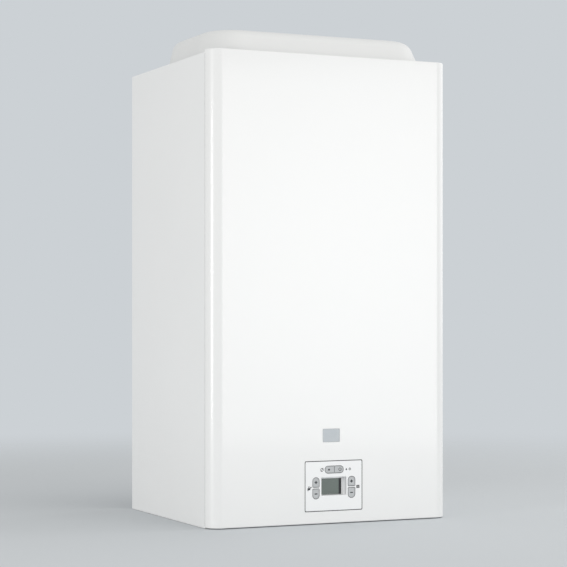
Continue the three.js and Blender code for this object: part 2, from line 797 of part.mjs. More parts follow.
function fanHousing() {
  const drum = rodY(fanRadius, [0, fanDepth], 0, 0, 36);
  const chamber = rodY(fanRadius - 10, [fanWall, fanDepth - fanWall], 0, 0, 32);
  const inlet = rodY(17, [-1, fanWall + 1]);
  const shaftHole = rodY(shaftRadius + 2, [fanDepth - fanWall - 1, fanDepth + 1], 0, 0, 12);
  const outletFront = ductFront - fanFront;
  const outletHeights = [fanDrop - ductHeight / 2, fanDrop + ductHeight / 2];
  const outlet = block([ductEnd - fanX, 0], [outletFront, outletFront + ductDepth], outletHeights);
  const outletBore = block(
    [ductEnd - fanX - 1, -20],
    [outletFront + ductWall, outletFront + ductDepth - ductWall],
    [outletHeights[0] + ductWall, outletHeights[1] - ductWall]
  );
  const pad = block([-25, 25], [fanWall, fanDepth - fanWall], [-fanRadius, -fanRadius + 9]);
  const body = cut(join(drum, outlet, pad), chamber, inlet, shaftHole, outletBore);
  return piece("fan_housing", body, castAluminium);
}

function fanImpeller() {
  const reach = fanRadius - 14;
  const disc = rodY(reach, [fanDepth - fanWall - 7, fanDepth - fanWall - 5], 0, 0, 28);
  const shaft = rodY(shaftRadius, [fanDepth - fanWall - 25, fanDepth + 10], 0, 0, 12);
  const bladeCount = 10;
  const blades = [];
  for (let step = 0; step < bladeCount; step += 1) {
    const blade = block([-1, 1], [fanWall + 3, fanDepth - fanWall - 6], [reach - 14, reach - 2]);
    blades.push(blade.rotate([0, (360 * step) / bladeCount, 0]));
  }
  return piece("fan_impeller", join(disc, shaft, ...blades), blackPlastic);
}

function fanMotor() {
  const can = rodY(motorRadius, [fanDepth + gap, fanDepth + gap + motorLength], 0, 0, 28);
  const bore = rodY(shaftRadius + gap, [fanDepth, fanDepth + 12], 0, 0, 12);
  return piece("fan_motor", cut(can, bore), blackPlastic);
}

function intakeSilencer() {
  const half = intakeWidth / 2;
  const outer = block([-half, half], [-intakeDepth - gap, -gap], [-half, intakeHeight - half]);
  const hollow = block(
    [-half + intakeWall, half - intakeWall],
    [-intakeDepth - gap + intakeWall, -gap - intakeWall],
    [-half + intakeWall, intakeHeight - half + 1]
  );
  const port = rodY(17, [-intakeWall - gap - 1, 1]);
  return piece("intake_silencer", cut(outer, hollow, port), blackPlastic);
}

function gasValve() {
  const half = gasValveWidth / 2;
  const body = block([-half, half], [0, fanDepth], [0, gasValveHeight]);
  const coil = rodX(14, [-half - 22, -half + 1], fanDepth / 2, gasValveHeight / 2, 18);
  const inlet = rodZ(gasPipeRadius + 3, [-8, 1], 0, 28, 6);
  return piece("gas_valve", join(body, coil, inlet), castAluminium, [fanX, fanFront, gasValveBottom]);
}

function gasPipe() {
  const laneY = controlRear + pumpMotorRoom / 2;
  const bottom = blockBottom;
  const top = gasValveBottom - 8 - gap;
  const at = (share) => bottom + share * (top - bottom);
  const route = [
    [gasX, valveY, bottom],
    [gasX, valveY, at(0.12)],
    [gasX, laneY, at(0.4)],
    [fanX / 2, laneY, at(0.58)],
    [fanX, fanFront + 28, at(0.8)],
    [fanX, fanFront + 28, top],
  ];
  return piece("gas_pipe", bar(route, gasPipeRadius, 0, 24), copper);
}

// ---------------------------------------------------------------- expansion vessel

// Half of the vessel's outline, from its front dome to its back dome, drawn in by a wall.
function vesselBody(wall) {
  const half = vesselDepth / 2 - wall;
  const radius = vesselRadius - wall;
  return turned(
    [
      [0, -half],
      [radius * 0.7, -half + 2],
      [radius - 14, -half + 12],
      [radius - 3, -half + 30],
      [radius, -2],
      [radius, 2],
      [radius - 3, half - 30],
      [radius - 14, half - 12],
      [radius * 0.7, half],
      [0, half],
    ],
    24
  );
}

function expansionVessel() {
  const port = rodZ(6, [-vesselRadius - 12, -vesselRadius + 12], 0, 0, 12);
  const portBore = rodZ(3, [-vesselRadius - 13, -vesselRadius + 20], 0, 0, 8);
  const shell = cut(join(vesselBody(0), port), vesselBody(vesselWall), portBore);
  return piece("expansion_vessel", shell, redPaint, [0, (vesselFront + vesselBack) / 2, vesselZ]);
}

// ---------------------------------------------------------------- water group

// A tail that hangs through the tray, with its nut and its seat under the tray.
function valveTailSolid(hasLever) {
  const stem = rodZ(valveRadius, [valveFloor, tailTop], 0, 0, 20);
  const seat = rodZ(valveFlange, [trayHeight - gap - 4, trayHeight - gap], 0, 0, 24);
  const nut = rodZ(valveRadius + 5, [valveFloor + 2, valveFloor + 14], 0, 0, 6);
  if (!hasLever) {
    return join(stem, seat, nut);
  }
  const boss = rodY(6, [-24, 0], 0, leverZ, 14);
  const bore = rodY(2.8, [-25, -16], 0, leverZ, 10);
  return cut(join(stem, seat, nut, boss), bore);
}

function isolatingValve(name, x) {
  return piece(name, valveTailSolid(true), brass, [x, valveY, 0]);
}

// The lever hangs down along the pipe, which is its open place.
function valveLever(name, x, material) {
  const hub = rodY(8, [-5, 0], 0, 0, 16);
  const pin = rodY(2.5, [-1, 7], 0, 0, 10);
  const handle = block([-4.5, 4.5], [-5, -2], [-(leverZ - leverFloor), 0]);
  return piece(name, join(hub, pin, handle), material, [x, valveY - 24 - gap, leverZ]);
}

// A tail that turns back into the plate heat exchanger.
function elbowTail(name, x, hasLever) {
  const riser = rodZ(pipeRadius, [tailTop - 1, stackPort], 0, 0, 14);
  const knee = solidOf(new THREE.SphereGeometry(pipeRadius, 12, 6).translate(0, 0, stackPort));
  const run = rodY(pipeRadius, [0, stackFront - gap - valveY], 0, stackPort, 14);
  return piece(name, join(valveTailSolid(hasLever), riser, knee, run), brass, [x, valveY, 0]);
}

function plateExchanger() {
  const half = 2 * valvePitch + plateStackReach;
  const core = block([-half + 3, half - 3], [1, plateStackDepth - 1], [3, plateStackHeight - 3]);
  const plateCount = 8;
  const pitch = plateStackDepth / plateCount;
  const plates = [];
  for (let step = 0; step < plateCount; step += 1) {
    const span = [step * pitch, step * pitch + pitch / 2];
    plates.push(block([-half, half], span, [0, plateStackHeight]));
  }
  return piece("plate_heat_exchanger", join(core, ...plates), stainless, [0, stackFront, stackBottom]);
}

function diverterValve() {
  const half = diverterWidth / 2;
  const body = block([-half, half], [blockFront, blockBack], [0, diverterHeight]);
  const chamber = rodZ(10, [15, diverterHeight + 1], 0, spindleY(), 16);
  const cap = rodX(14, [-half - 6, -half + 1], blockFront + 20, 30, 6);
  return piece("diverter_valve", cut(join(body, cap), chamber), brass, [chFlowX, 0, blockBottom]);
}

function spindleY() {
  return blockBack - 22;
}

function diverterActuator() {
  const span = [-actuatorHalf, actuatorHalf];
  const body = block(span, span, [0, actuatorHeight]);
  const bore = rodZ(3.4, [-1, 40], 0, 0, 12);
  return piece("diverter_actuator", cut(body, bore), blackPlastic, [chFlowX, spindleY(), diverterTop + gap]);
}

function diverterSpindle() {
  const plug = rodZ(8, [25, 35], 0, 0, 16);
  const rod = rodZ(3, [24, diverterHeight + gap + 40 - diverterTravel - 6], 0, 0, 12);
  return piece("diverter_spindle", join(plug, rod), stainless, [chFlowX, spindleY(), blockBottom]);
}

function pumpBody() {
  const span = [pumpLeft - chReturnX, pumpRight - chReturnX];
  const body = block(span, [blockFront, blockBack], [blockBottom, pumpTop]);
  const chamber = rodY(26, [blockFront - 1, blockFront + 32], 0, pumpZ, 24);
  return piece("pump_body", cut(body, chamber), brass, [chReturnX, 0, 0]);
}

function pumpRotor() {
  const wheel = rodY(22, [5, 25], 0, 0, 20);
  const shaft = rodY(shaftRadius, [-gap - 10, 6], 0, 0, 12);
  return piece("pump_rotor", join(wheel, shaft), stainless, [chReturnX, blockFront, pumpZ]);
}

function pumpMotor() {
  const can = rodY(pumpMotorRadius, [pumpMotorFront, pumpMotorBack], 0, 0, 28);
  const bore = rodY(shaftRadius + gap, [pumpMotorBack - 12, pumpMotorBack + 1], 0, 0, 12);
  const terminals = block([0, pumpMotorRadius + 10], [pumpMotorFront + 2, pumpMotorBack - 2], [-20, 20]);
  return piece("pump_motor", cut(join(can, terminals), bore), blackPlastic, [chReturnX, 0, pumpZ]);
}

function flowPipe() {
  const top = spigotBottom - gap;
  const bottom = diverterTop + gap;
  const endY = blockFront + 13;
  const rise = (top - bottom) / 5;
  const route = [
    [flowSpigotX, flowSpigotY, top],
    [flowSpigotX, flowSpigotY, top - rise],
    [chFlowX, endY, bottom + rise],
    [chFlowX, endY, bottom],
  ];
  return piece("flow_pipe", bar(route, pipeRadius), copper);
}

function returnPipe() {
  const top = spigotBottom - gap;
  const bottom = pumpTop + gap;
  const endX = pumpLeft + 13;
  const endY = valveY + 10;
  const rise = (top - bottom) / 4;
  const route = [
    [returnSpigotX, returnSpigotY, top],
    [returnSpigotX, returnSpigotY, top - rise],
    [endX, endY, bottom + rise],
    [endX, endY, bottom],
  ];
  return piece("return_pipe", bar(route, pipeRadius), copper);
}

function condensateTrap() {
  const cup = rodZ(trapRadius, [trayTop + gap, trapTop], trapX, trapY, 24);
  const outlet = rodZ(8, [trayHeight - 30, trayTop + 1], trapX, trapY, 16);
  const top = spigotBottom - gap;
  const at = (share) => trapTop + share * (top - trapTop);
  const laneY = spindleY() + actuatorHalf + hoseRadius + 1.5; // behind the diverter's actuator
  const route = [
    [exchangerX, drainY, top],
    [exchangerX, drainY, at(0.8)],
    [chFlowX + actuatorHalf + 6, laneY, at(0.6)],
    [chFlowX - actuatorHalf - 6, laneY, at(0.45)],
    [trapX, trapY, at(0.2)],
    [trapX, trapY, trapTop - 1],
  ];
  return piece("condensate_trap", join(cup, outlet, bar(route, hoseRadius)), blackPlastic);
}

function reliefValve() {
  const start = pumpRight + gap - reliefX;
  const body = rodX(12, [start, start + reliefReach], 0, 0, 16);
  const outlet = rodZ(8, [trayHeight - 30 - reliefZ, 0], 0, 0, 14);
  const bonnet = rodZ(8, [0, 16], 0, 0, 16);
  const bore = rodZ(3.4, [6, 17], 0, 0, 10);
  return piece("relief_valve", cut(join(body, outlet, bonnet), bore), brass, [reliefX, reliefY, reliefZ]);
}

function reliefKnob() {
  const base = 16 + gap;
  const cap = rodZ(12, [base, base + 14], 0, 0, 6);
  const pin = rodZ(3, [8, base + 1], 0, 0, 10);
  return piece("relief_knob", join(cap, pin), redPaint, [reliefX, reliefY, reliefZ]);
}

function airVent() {
  const body = rodZ(10, [0, 28], 0, 0, 16);
  const cap = rodZ(6, [27, 36], 0, 0, 12);
  return piece("air_vent", join(body, cap), brass, [pumpRight - 13, valveY + 24, pumpTop + gap]);
}

// ---------------------------------------------------------------- control box

const fasciaLeft = fasciaOffset - fasciaWidth / 2;
const fasciaRight = fasciaOffset + fasciaWidth / 2;
const windowSpan = [fasciaOffset + windowLeft, fasciaOffset + windowRight];
const windowHeights = [windowBottom, windowTop];

// Each button's cap: its place on the fascia, and the radii of its four corners.
const soft = 4.8;
const tight = 0.8;
const cornerSets = {
  leftEnd: [soft, tight, tight, soft],
  rightEnd: [tight, soft, soft, tight],
  roundTop: [soft, soft, tight, tight],
  roundFoot: [tight, tight, soft, soft],
};
const topRow = [75.9, 85.9];
const upRow = [54.9, 69.4];
const downRow = [38.3, 53.4];
const leftColumn = [-32.2, -22.2];
const rightColumn = [26.6, 37.4];
const buttons = [
  { name: "mode_button", span: [-12.1, 3.25], heights: topRow, corners: cornerSets.leftEnd },
  { name: "reset_button", span: [3.75, 17.9], heights: topRow, corners: cornerSets.rightEnd },
  { name: "hot_water_up_button", span: leftColumn, heights: upRow, corners: cornerSets.roundTop },
  { name: "hot_water_down_button", span: leftColumn, heights: downRow, corners: cornerSets.roundFoot },
  { name: "heating_up_button", span: rightColumn, heights: upRow, corners: cornerSets.roundTop },
  { name: "heating_down_button", span: rightColumn, heights: downRow, corners: cornerSets.roundFoot },
];

function grownCap(button, by) {
  const [x0, x1] = button.span;
  const [z0, z1] = button.heights;
  return cornered([x0 - by, x1 + by], [z0 - by, z1 + by], button.corners.map((radius) => radius + by));
}

function controlShell() {
  const top = controlFloor + controlHeight;
  const outer = block([-controlHalf, controlHalf], [controlFront, controlRear], [controlFloor, top]);
  const hollow = block(
    [-controlHalf + controlWall, controlHalf - controlWall],
    [controlFront + controlWall, controlRear - controlWall],
    [controlFloor + controlWall, top - controlWall]
  );
  const opening = block(
    [fasciaLeft + 9, fasciaRight - 7],
    [controlFront - 1, controlFront + controlWall + 1],
    [fasciaBottom + 14, fasciaBottom + fasciaHeight - 4.5]
  );
  const posts = [];
  for (const x of boardCorners()) {
    for (const z of [fasciaBottom + 8, fasciaBottom + fasciaHeight + 12]) {
      posts.push(rodY(boardPost, [controlFront + 1, boardFront - gap], x, z, 12));
    }
  }
  const pins = bothSides((side) => {
    const span = sideSpan(side, controlHalf - 1, controlHalf + hingeReach);
    return rodX(hingePin, span, hingeY, hingeHeight, 20);
  });
  return piece("control_box_shell", join(cut(outer, hollow, opening), ...posts, ...pins), boxPlastic);
}

function boardCorners() {
  return [fasciaLeft - 10, fasciaRight + 12];
}

function controlFascia() {
  const outline = cornered(
    [fasciaLeft, fasciaRight],
    [fasciaBottom, fasciaBottom + fasciaHeight],
    Array(4).fill(fasciaCorner)
  );
  const plate = pulledBack(outline, [frontFace, frontFace + fasciaThickness]);
  const wellRear = frontFace + wellDepth;
  const wellSpan = [windowSpan[0] - wellWall, windowSpan[1] + wellWall];
  const wellHeights = [windowHeights[0] - wellWall, windowHeights[1] + wellWall];
  const well = block(wellSpan, [frontFace + 1, wellRear], wellHeights);
  const window = block(windowSpan, [frontFace - 1, wellRear + 1], windowHeights);
  const caps = buttons.map((button) => {
    return pulledBack(grownCap(button, buttonClearance), [frontFace - 1, frontFace + fasciaThickness + 1]);
  });
  return piece("control_fascia", cut(join(plate, well), window, ...caps), fasciaPlastic);
}

function displayLens() {
  const rear = frontFace + wellDepth;
  const lens = block(
    [windowSpan[0] + gap, windowSpan[1] - gap],
    [rear - lensThickness, rear],
    [windowHeights[0] + gap, windowHeights[1] - gap]
  );
  return piece("display_lens", lens, displayGlass);
}

function displayModule() {
  const module = block(
    [windowSpan[0] - wellWall, windowSpan[1] + wellWall],
    [frontFace + wellDepth + gap, boardFront - gap],
    [windowHeights[0] - wellWall, windowHeights[1] + wellWall]
  );
  return piece("display_module", module, blackPlastic);
}

function controlBoard() {
  const [left, right] = boardCorners();
  const board = block(
    [left - 6, right + 6],
    [boardFront, boardFront + boardThickness],
    [fasciaBottom + 2, fasciaBottom + fasciaHeight + 18]
  );
  const relay = block([20, 50], [boardFront + boardThickness - 0.5, boardFront + 20], [80, 105]);
  const transformer = block([-50, -10], [boardFront + boardThickness - 0.5, boardFront + 28], [30, 62]);
  return piece("control_board", join(board, relay, transformer), boardLaminate);
}

function buttonPiece(button) {
  const middleX = (button.span[0] + button.span[1]) / 2;
  const middleZ = (button.heights[0] + button.heights[1]) / 2;
  const flangeFront = frontFace + fasciaThickness + gap;
  const cap = pulledBack(grownCap(button, 0), [frontFace, flangeFront + 1]);
  const [low, high] = button.heights;
  const flangeHeights = [low - buttonFlange, high + buttonFlange];
  const flange = block(button.span, [flangeFront, flangeFront + 1.2], flangeHeights);
  const stem = rodY(buttonStem, [flangeFront + 1, boardFront - gap - buttonTravel], middleX, middleZ, 10);
  return piece(button.name, join(cap, flange, stem), buttonRubber);
}

// ---------------------------------------------------------------- the whole boiler

const casing = groupOf(
  [0, 0, 0],
  ...bothSides(sidePanel),
  topPanel(),
  backFrame(),
  wallBracket(),
  lowerRail(),
  pipeTray(),
  topHood()
);

const flue = groupOf([0, 0, 0], flueCollar(), flueSocket(), flueDuct());

const fan = groupOf([fanX, fanFront, fanZ], fanHousing(), fanImpeller(), fanMotor(), intakeSilencer());

const combustion = groupOf(
  [0, 0, 0],
  heatExchanger(),
  burnerDoor(),
  burnerTube(),
  ignitionElectrode(),
  fan,
  gasValve(),
  gasPipe()
);

const waterGroup = groupOf(
  [0, 0, 0],
  expansionVessel(),
  isolatingValve("ch_flow_valve", chFlowX),
  elbowTail("hot_water_outlet", hotWaterX, false),
  isolatingValve("gas_cock", gasX),
  elbowTail("cold_inlet_valve", coldInletX, true),
  isolatingValve("ch_return_valve", chReturnX),
  valveLever("ch_flow_lever", chFlowX, blackPlastic),
  valveLever("gas_lever", gasX, yellowPlastic),
  valveLever("cold_inlet_lever", coldInletX, blackPlastic),
  valveLever("ch_return_lever", chReturnX, blackPlastic),
  plateExchanger(),
  diverterValve(),
  diverterActuator(),
  diverterSpindle(),
  pumpBody(),
  pumpRotor(),
  pumpMotor(),
  flowPipe(),
  returnPipe(),
  condensateTrap(),
  reliefValve(),
  reliefKnob(),
  airVent()
);

const frontCover = groupOf(
  [0, 0, 0],
  frontPanel(),
  badgePlate(),
  panelGasket(),
  ...bothSides(panelScrew)
);

const controlBox = groupOf(
  [0, 0, 0],
  controlShell(),
  controlFascia(),
  displayLens(),
  displayModule(),
  controlBoard(),
  ...buttons.map(buttonPiece)
);

const boiler = groupOf([0, 0, 0], casing, flue, combustion, waterGroup, frontCover, controlBox);

export default boiler;
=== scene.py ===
# %% [markdown]
# # A wall-hung combi boiler
# A combi boiler is a sheet-steel case full of pipework. Its measured parts come in as the frame, in metres, with +Z up
# and the front facing -Y. This lesson gives every part its fine shape and finish. In use the boiler hangs on a wall;
# here it stands on a plain pale floor, so that all its sides can be seen.

# %% Load the frame
import json
import math
import bmesh
import bpy
from mathutils import Euler, Matrix, Vector


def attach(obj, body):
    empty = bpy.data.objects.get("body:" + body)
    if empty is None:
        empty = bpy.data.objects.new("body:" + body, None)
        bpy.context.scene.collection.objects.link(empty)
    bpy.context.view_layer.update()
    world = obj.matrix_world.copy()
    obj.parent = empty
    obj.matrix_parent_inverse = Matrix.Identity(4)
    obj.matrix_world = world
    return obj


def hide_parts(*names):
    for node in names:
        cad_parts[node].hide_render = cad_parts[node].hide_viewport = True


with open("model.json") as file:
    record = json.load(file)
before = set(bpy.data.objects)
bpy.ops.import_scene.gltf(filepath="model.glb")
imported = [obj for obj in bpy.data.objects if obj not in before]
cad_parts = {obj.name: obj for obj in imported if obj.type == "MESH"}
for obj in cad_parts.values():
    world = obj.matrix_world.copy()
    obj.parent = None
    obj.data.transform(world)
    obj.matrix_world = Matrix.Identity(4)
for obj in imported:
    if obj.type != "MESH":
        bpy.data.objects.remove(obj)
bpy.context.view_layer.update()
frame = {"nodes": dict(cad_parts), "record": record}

mm = 0.001
scene = bpy.context.scene
body_of = {node: body for body, nodes in frame["record"]["behaviour"]["bodies"].items() for node in nodes}
slot_of = {part["node"]: part["material_slot"] for part in frame["record"]["subparts"]}

# %% [markdown]
# ## Camera
# The picture was taken from the front left, a little above the middle of the case. A level camera keeps the upright
# edges upright, and a small shift of the lens frames the case without tipping it.

# %% Camera
def in_scene(name, data):
    holder = bpy.data.objects.new(name, data)
    scene.collection.objects.link(holder)
    return holder


lens = bpy.data.cameras.new("photo_camera")
lens.lens, lens.sensor_width, lens.shift_y = 116.57, 36, 0.06
lens.clip_start, lens.clip_end = 0.05, 100
camera = scene.camera = in_scene("photo_camera", lens)
camera.location = (-1.21164, -2.62764, 0.30806)
camera.rotation_euler = (math.pi / 2, 0, -0.4306)
print("camera", round(camera.location.length, 2), "m away")

# %% [markdown]
# ## Colours and nodes
# Colours are hex values, as on a paint chart. Cycles works in linear light, so one function turns them over. Another
# adds a node with its settings and its links; a link that names a whole node means its first output.

# %% Colours and nodes
def linear(code):
    channels = [int(code[at:at + 2], 16) / 255 for at in (1, 3, 5)]
    return (*[c / 12.92 if c <= 0.04045 else ((c + 0.055) / 1.055) ** 2.4 for c in channels], 1.0)


def emptied(owner):
    owner.use_nodes = True
    owner.node_tree.nodes.clear()
    return owner.node_tree


def add(tree, kind, settings={}, links={}):
    node = tree.nodes.new(kind)
    for name, value in settings.items():
        if isinstance(name, int) or name in node.inputs:
            node.inputs[name].default_value = value
        else:
            setattr(node, name, value)
    for name, source in links.items():
        tree.links.new(getattr(source, "outputs", [source])[0], node.inputs[name])
    return node


print("white paint in linear light:", [round(c, 3) for c in linear("#F2F3F4")])

# %% [markdown]
# ## Light
# A white glossy case is best lit with large soft lamps. One on the left makes the upright highlight along the rounded
# corner, one in front makes the face the brightest side, and the world fills the shadows evenly. The floor fades into
# the world's own pale colour, so no horizon line shows behind the case.

# %% Lamps
LAMPS = {  # place, what it points at and size, in metres, then watts
    "left_strip": ((-2.6, -1.0, 0.45), (-0.19, -0.16, 0.1), (0.75, 0.92), 19.5),
    "front_softbox": ((1.35, -2.87, 0.5), (0, -0.16, 0.3), (1.2, 1.2), 19.5),
    "top_softbox": ((0.5, -0.6, 2.6), (0, 0, 0.5), (1.6, 1.6), 9),
    "right_fill": ((2.5, -0.1, 1.35), (0.15, 0, 0.4), (2.8, 2.5), 17),
}
for name, (place, aim, size, watts) in LAMPS.items():
    light = bpy.data.lights.new(name, "AREA")
    light.shape, light.energy = "RECTANGLE", watts
    light.size, light.size_y = size
    lamp = in_scene(name, light)
    lamp.location = place
    lamp.rotation_euler = (Vector(aim) - Vector(place)).to_track_quat("-Z", "Y").to_euler()
print("lamps:", list(LAMPS))

# %% World and floor
scene.world = bpy.data.worlds.new("studio")
sky = emptied(scene.world)
ray = add(sky, "ShaderNodeLightPath").outputs
larger = {"operation": "MAXIMUM"}
seen = add(sky, "ShaderNodeMath", larger, {0: ray["Is Camera Ray"], 1: ray["Is Transmission Ray"]})
shown = add(sky, "ShaderNodeMath", larger, {0: seen, 1: ray["Is Glossy Ray"]})
fill = add(sky, "ShaderNodeBackground", {"Color": linear("#FFFFFE"), "Strength": 0.60})
backdrop = add(sky, "ShaderNodeBackground", {"Color": linear("#CCD1D5"), "Strength": 1.0})
choice = add(sky, "ShaderNodeMixShader", {}, {0: shown, 1: fill, 2: backdrop})
add(sky, "ShaderNodeOutputWorld", {}, {"Surface": choice})

FLOOR_RADIUS, FLOOR_SIDES, UNDER_CASE = 4, 64, -0.4 * mm
floor_mesh = bpy.data.meshes.new("floor")
turns = [math.tau * k / FLOOR_SIDES for k in range(FLOOR_SIDES)]
rim = [(FLOOR_RADIUS * math.cos(t), FLOOR_RADIUS * math.sin(t), UNDER_CASE) for t in turns]
floor_mesh.from_pydata(rim, [], [tuple(range(FLOOR_SIDES))])
floor = in_scene("floor", floor_mesh)
paper = bpy.data.materials.new("backdrop_paper")
tree = emptied(paper)
place = add(tree, "ShaderNodeTexCoord").outputs["Object"]
away = add(tree, "ShaderNodeVectorMath", {"operation": "LENGTH"}, {0: place}).outputs["Value"]
fade = add(tree, "ShaderNodeMapRange", {"From Min": 0.75, "From Max": 2.2, "interpolation_type": "SMOOTHSTEP"},
           {"Value": away})
matt = add(tree, "ShaderNodeBsdfDiffuse", {"Color": linear("#D4D8DB")})
gone = add(tree, "ShaderNodeBsdfTransparent")
blend = add(tree, "ShaderNodeMixShader", {}, {0: fade, 1: matt, 2: gone})
add(tree, "ShaderNodeOutputMaterial", {}, {"Surface": blend})
floor_mesh.materials.append(paper)
scene.view_settings.view_transform = "Standard"
print("floor:", 2 * FLOOR_RADIUS, "m across")

# %% [markdown]
# ## Shapes
# Sheet metal, castings and pipes come down to a few ways of making a solid: a stack of outlines, an outline pulled
# along an axis, a profile turned about an axis, and a round section on a route. Each helper returns a bmesh in
# millimetres. Corners are eased, because a real corner is never perfectly sharp.

# %% Shapes
ORDER = {"x": (2, 0, 1), "y": (0, 2, 1), "z": (0, 1, 2)}


def along(axis, across, up, reach):
    return Vector([(across, up, reach)[i] for i in ORDER[axis]])


def stacked(rings, closed=False):
    shape = bmesh.new()
    rings = [[shape.verts.new(point) for point in ring] for ring in rings]
    for lower, upper in zip(rings, rings[1:] + rings[:1] if closed else rings[1:]):
        for i in range(len(lower)):
            shape.faces.new((lower[i - 1], lower[i], upper[i], upper[i - 1]))
    if not closed:
        shape.faces.new(rings[0])
        shape.faces.new(rings[-1])
    return shape


def eased(points, radius, closed=False, steps=4):
    points = [Vector(point) for point in points]
    result = []
    for i, point in enumerate(points):
        before, after = points[i - 1] - point, points[(i + 1) % len(points)] - point
        if not closed and i in (0, len(points) - 1):
            result.append(point)
            continue
        start = point + before.normalized() * min(radius, before.length * 0.49)
        end = point + after.normalized() * min(radius, after.length * 0.49)
        for share in [step / steps for step in range(steps + 1)]:
            result.append(start * (1 - share) ** 2 + point * 2 * share * (1 - share) + end * share ** 2)
    return result


def pulled(axis, outline, span):
    return stacked([[along(axis, *point, reach) for point in outline] for reach in span])


def block(x, y, z):
    return pulled("z", [(x[0], y[0]), (x[1], y[0]), (x[1], y[1]), (x[0], y[1])], z)


def turned(axis, profile, at=(0, 0), sides=72):
    turns = [math.tau * k / sides for k in range(sides)]
    rings = [[along(axis, at[0] + radius * math.cos(t), at[1] + radius * math.sin(t), reach) for t in turns]
             for radius, reach in profile if radius > 0]
    return stacked(rings, closed=profile[0][0] > 0)


def rod(axis, radius, span, at=(0, 0), sides=48, ease=0.5):
    low, high = span
    return turned(axis, eased([(0, low), (radius, low), (radius, high), (0, high)], ease), at, sides)


def rods(axis, at, *sizes):
    return [rod(axis, radius, (low, high), at, *more) for radius, low, high, *more in sizes]


def ring(axis, inner, outer, span, at=(0, 0), sides=72, ease=0.3):
    low, high = span
    section = [(inner, low), (outer, low), (outer, high), (inner, high)]
    return turned(axis, eased(section, ease, closed=True, steps=2), at, sides)


def arc(centre, radius, start, end, steps=8):
    angles = [math.radians(start + (end - start) * step / steps) for step in range(steps + 1)]
    return [(centre[0] + radius * math.cos(a), centre[1] + radius * math.sin(a)) for a in angles]


def cornered(low, high, radii, grow=0, steps=6):
    (x0, z0), (x1, z1) = low, high
    x0, z0, x1, z1 = x0 - grow, z0 - grow, x1 + grow, z1 + grow
    top_left, top_right, foot_right, foot_left = [radius + grow for radius in radii]
    outline = arc((x1 - foot_right, z0 + foot_right), foot_right, -90, 0, steps)
    outline += arc((x1 - top_right, z1 - top_right), top_right, 0, 90, steps)
    outline += arc((x0 + top_left, z1 - top_left), top_left, 90, 180, steps)
    return outline + arc((x0 + foot_left, z0 + foot_left), foot_left, 180, 270, steps)


def rounded(axis, low, high, radius, span, grow=0):
    return pulled(axis, cornered(low, high, [radius] * 4, grow), span)


print("shape helpers ready")

# %% [markdown]
# ## Joining, cutting and finishing
# Shapes are gathered into one mesh, and holes are cut with a Boolean modifier that is applied at once. The last helper
# makes a finished piece: it scales millimetres to metres, rolls a small bevel along every hard edge so that it catches
# the light, evens the normals, and puts the piece in the place of the frame's part. A piece that the frame doesn't
# have names its body and slot instead.

# %% Joining, cutting and finishing
WELD = 0.004  # points closer than this, in mm, are one point after a cut
HARD, HARD_WHEN_ROLLED = math.radians(32), math.radians(50)
FINISH, BLACK = {}, "black_plastic"


def together(*shapes):
    whole = bmesh.new()
    for shape in shapes:
        bmesh.ops.recalc_face_normals(shape, faces=shape.faces)
        mesh = bpy.data.meshes.new("shape")
        shape.to_mesh(mesh)
        shape.free()
        whole.from_mesh(mesh)
        bpy.data.meshes.remove(mesh)
    return whole


def moved(shape, by=(0, 0, 0), turn=(0, 0, 0)):
    matrix = Matrix.Translation(by) @ Euler([math.radians(angle) for angle in turn]).to_matrix().to_4x4()
    bmesh.ops.transform(shape, matrix=matrix, verts=shape.verts)
    return shape


def as_object(name, shape):
    mesh = bpy.data.meshes.new(name)
    shape.to_mesh(mesh)
    shape.free()
    return in_scene(name, mesh)


def applied(holder):
    mesh = bpy.data.meshes.new_from_object(holder.evaluated_get(bpy.context.evaluated_depsgraph_get()))
    holder.modifiers.clear()
    old, holder.data = holder.data, mesh
    mesh.name = holder.name
    bpy.data.meshes.remove(old)
    return holder


def as_shape(holder):
    shape = bmesh.new()
    shape.from_mesh(applied(holder).data)
    bpy.data.meshes.remove(holder.data)
    return shape


def cut(shape, *tools):
    base, tool = as_object("base", together(shape)), as_object("tool", together(*tools))
    knife = base.modifiers.new("cut", "BOOLEAN")
    knife.object, knife.solver, knife.use_self = tool, "EXACT", True
    result = as_shape(base)
    bmesh.ops.remove_doubles(result, verts=result.verts, dist=WELD)
    bmesh.ops.dissolve_degenerate(result, edges=result.edges, dist=WELD)
    bpy.data.meshes.remove(tool.data)
    return result


def finished(name, node, *shapes, edge=0.4, steps=2, body=None, slot=None, finish=None):
    slot = slot or slot_of[node]
    piece = as_object(name, together(*shapes))
    piece.data.transform(Matrix.Scale(mm, 4))
    if edge:
        bevel = piece.modifiers.new("edge", "BEVEL")
        bevel.width, bevel.segments, bevel.limit_method, bevel.angle_limit = edge * mm, steps, "ANGLE", HARD
        applied(piece)
    piece.data.shade_smooth()
    piece.data.set_sharp_from_angle(angle=HARD_WHEN_ROLLED if edge else HARD)
    even = piece.modifiers.new("even", "WEIGHTED_NORMAL")
    even.keep_sharp = True
    applied(piece)
    piece.data.materials.append(finish or FINISH[slot])
    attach(piece, body or body_of[node])
    if node:
        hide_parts(node)
    return piece


print("finishing helpers ready")

# %% [markdown]
# ## Finishes
# Paint, moulded plastic and metal differ in how sharply they reflect, and in the small relief that breaks the
# reflection up: orange peel in powder coat, spark texture in a mould, grain in a casting, brushing on sheet. The
# relief comes from procedural textures on Object coordinates, at real sizes in millimetres.

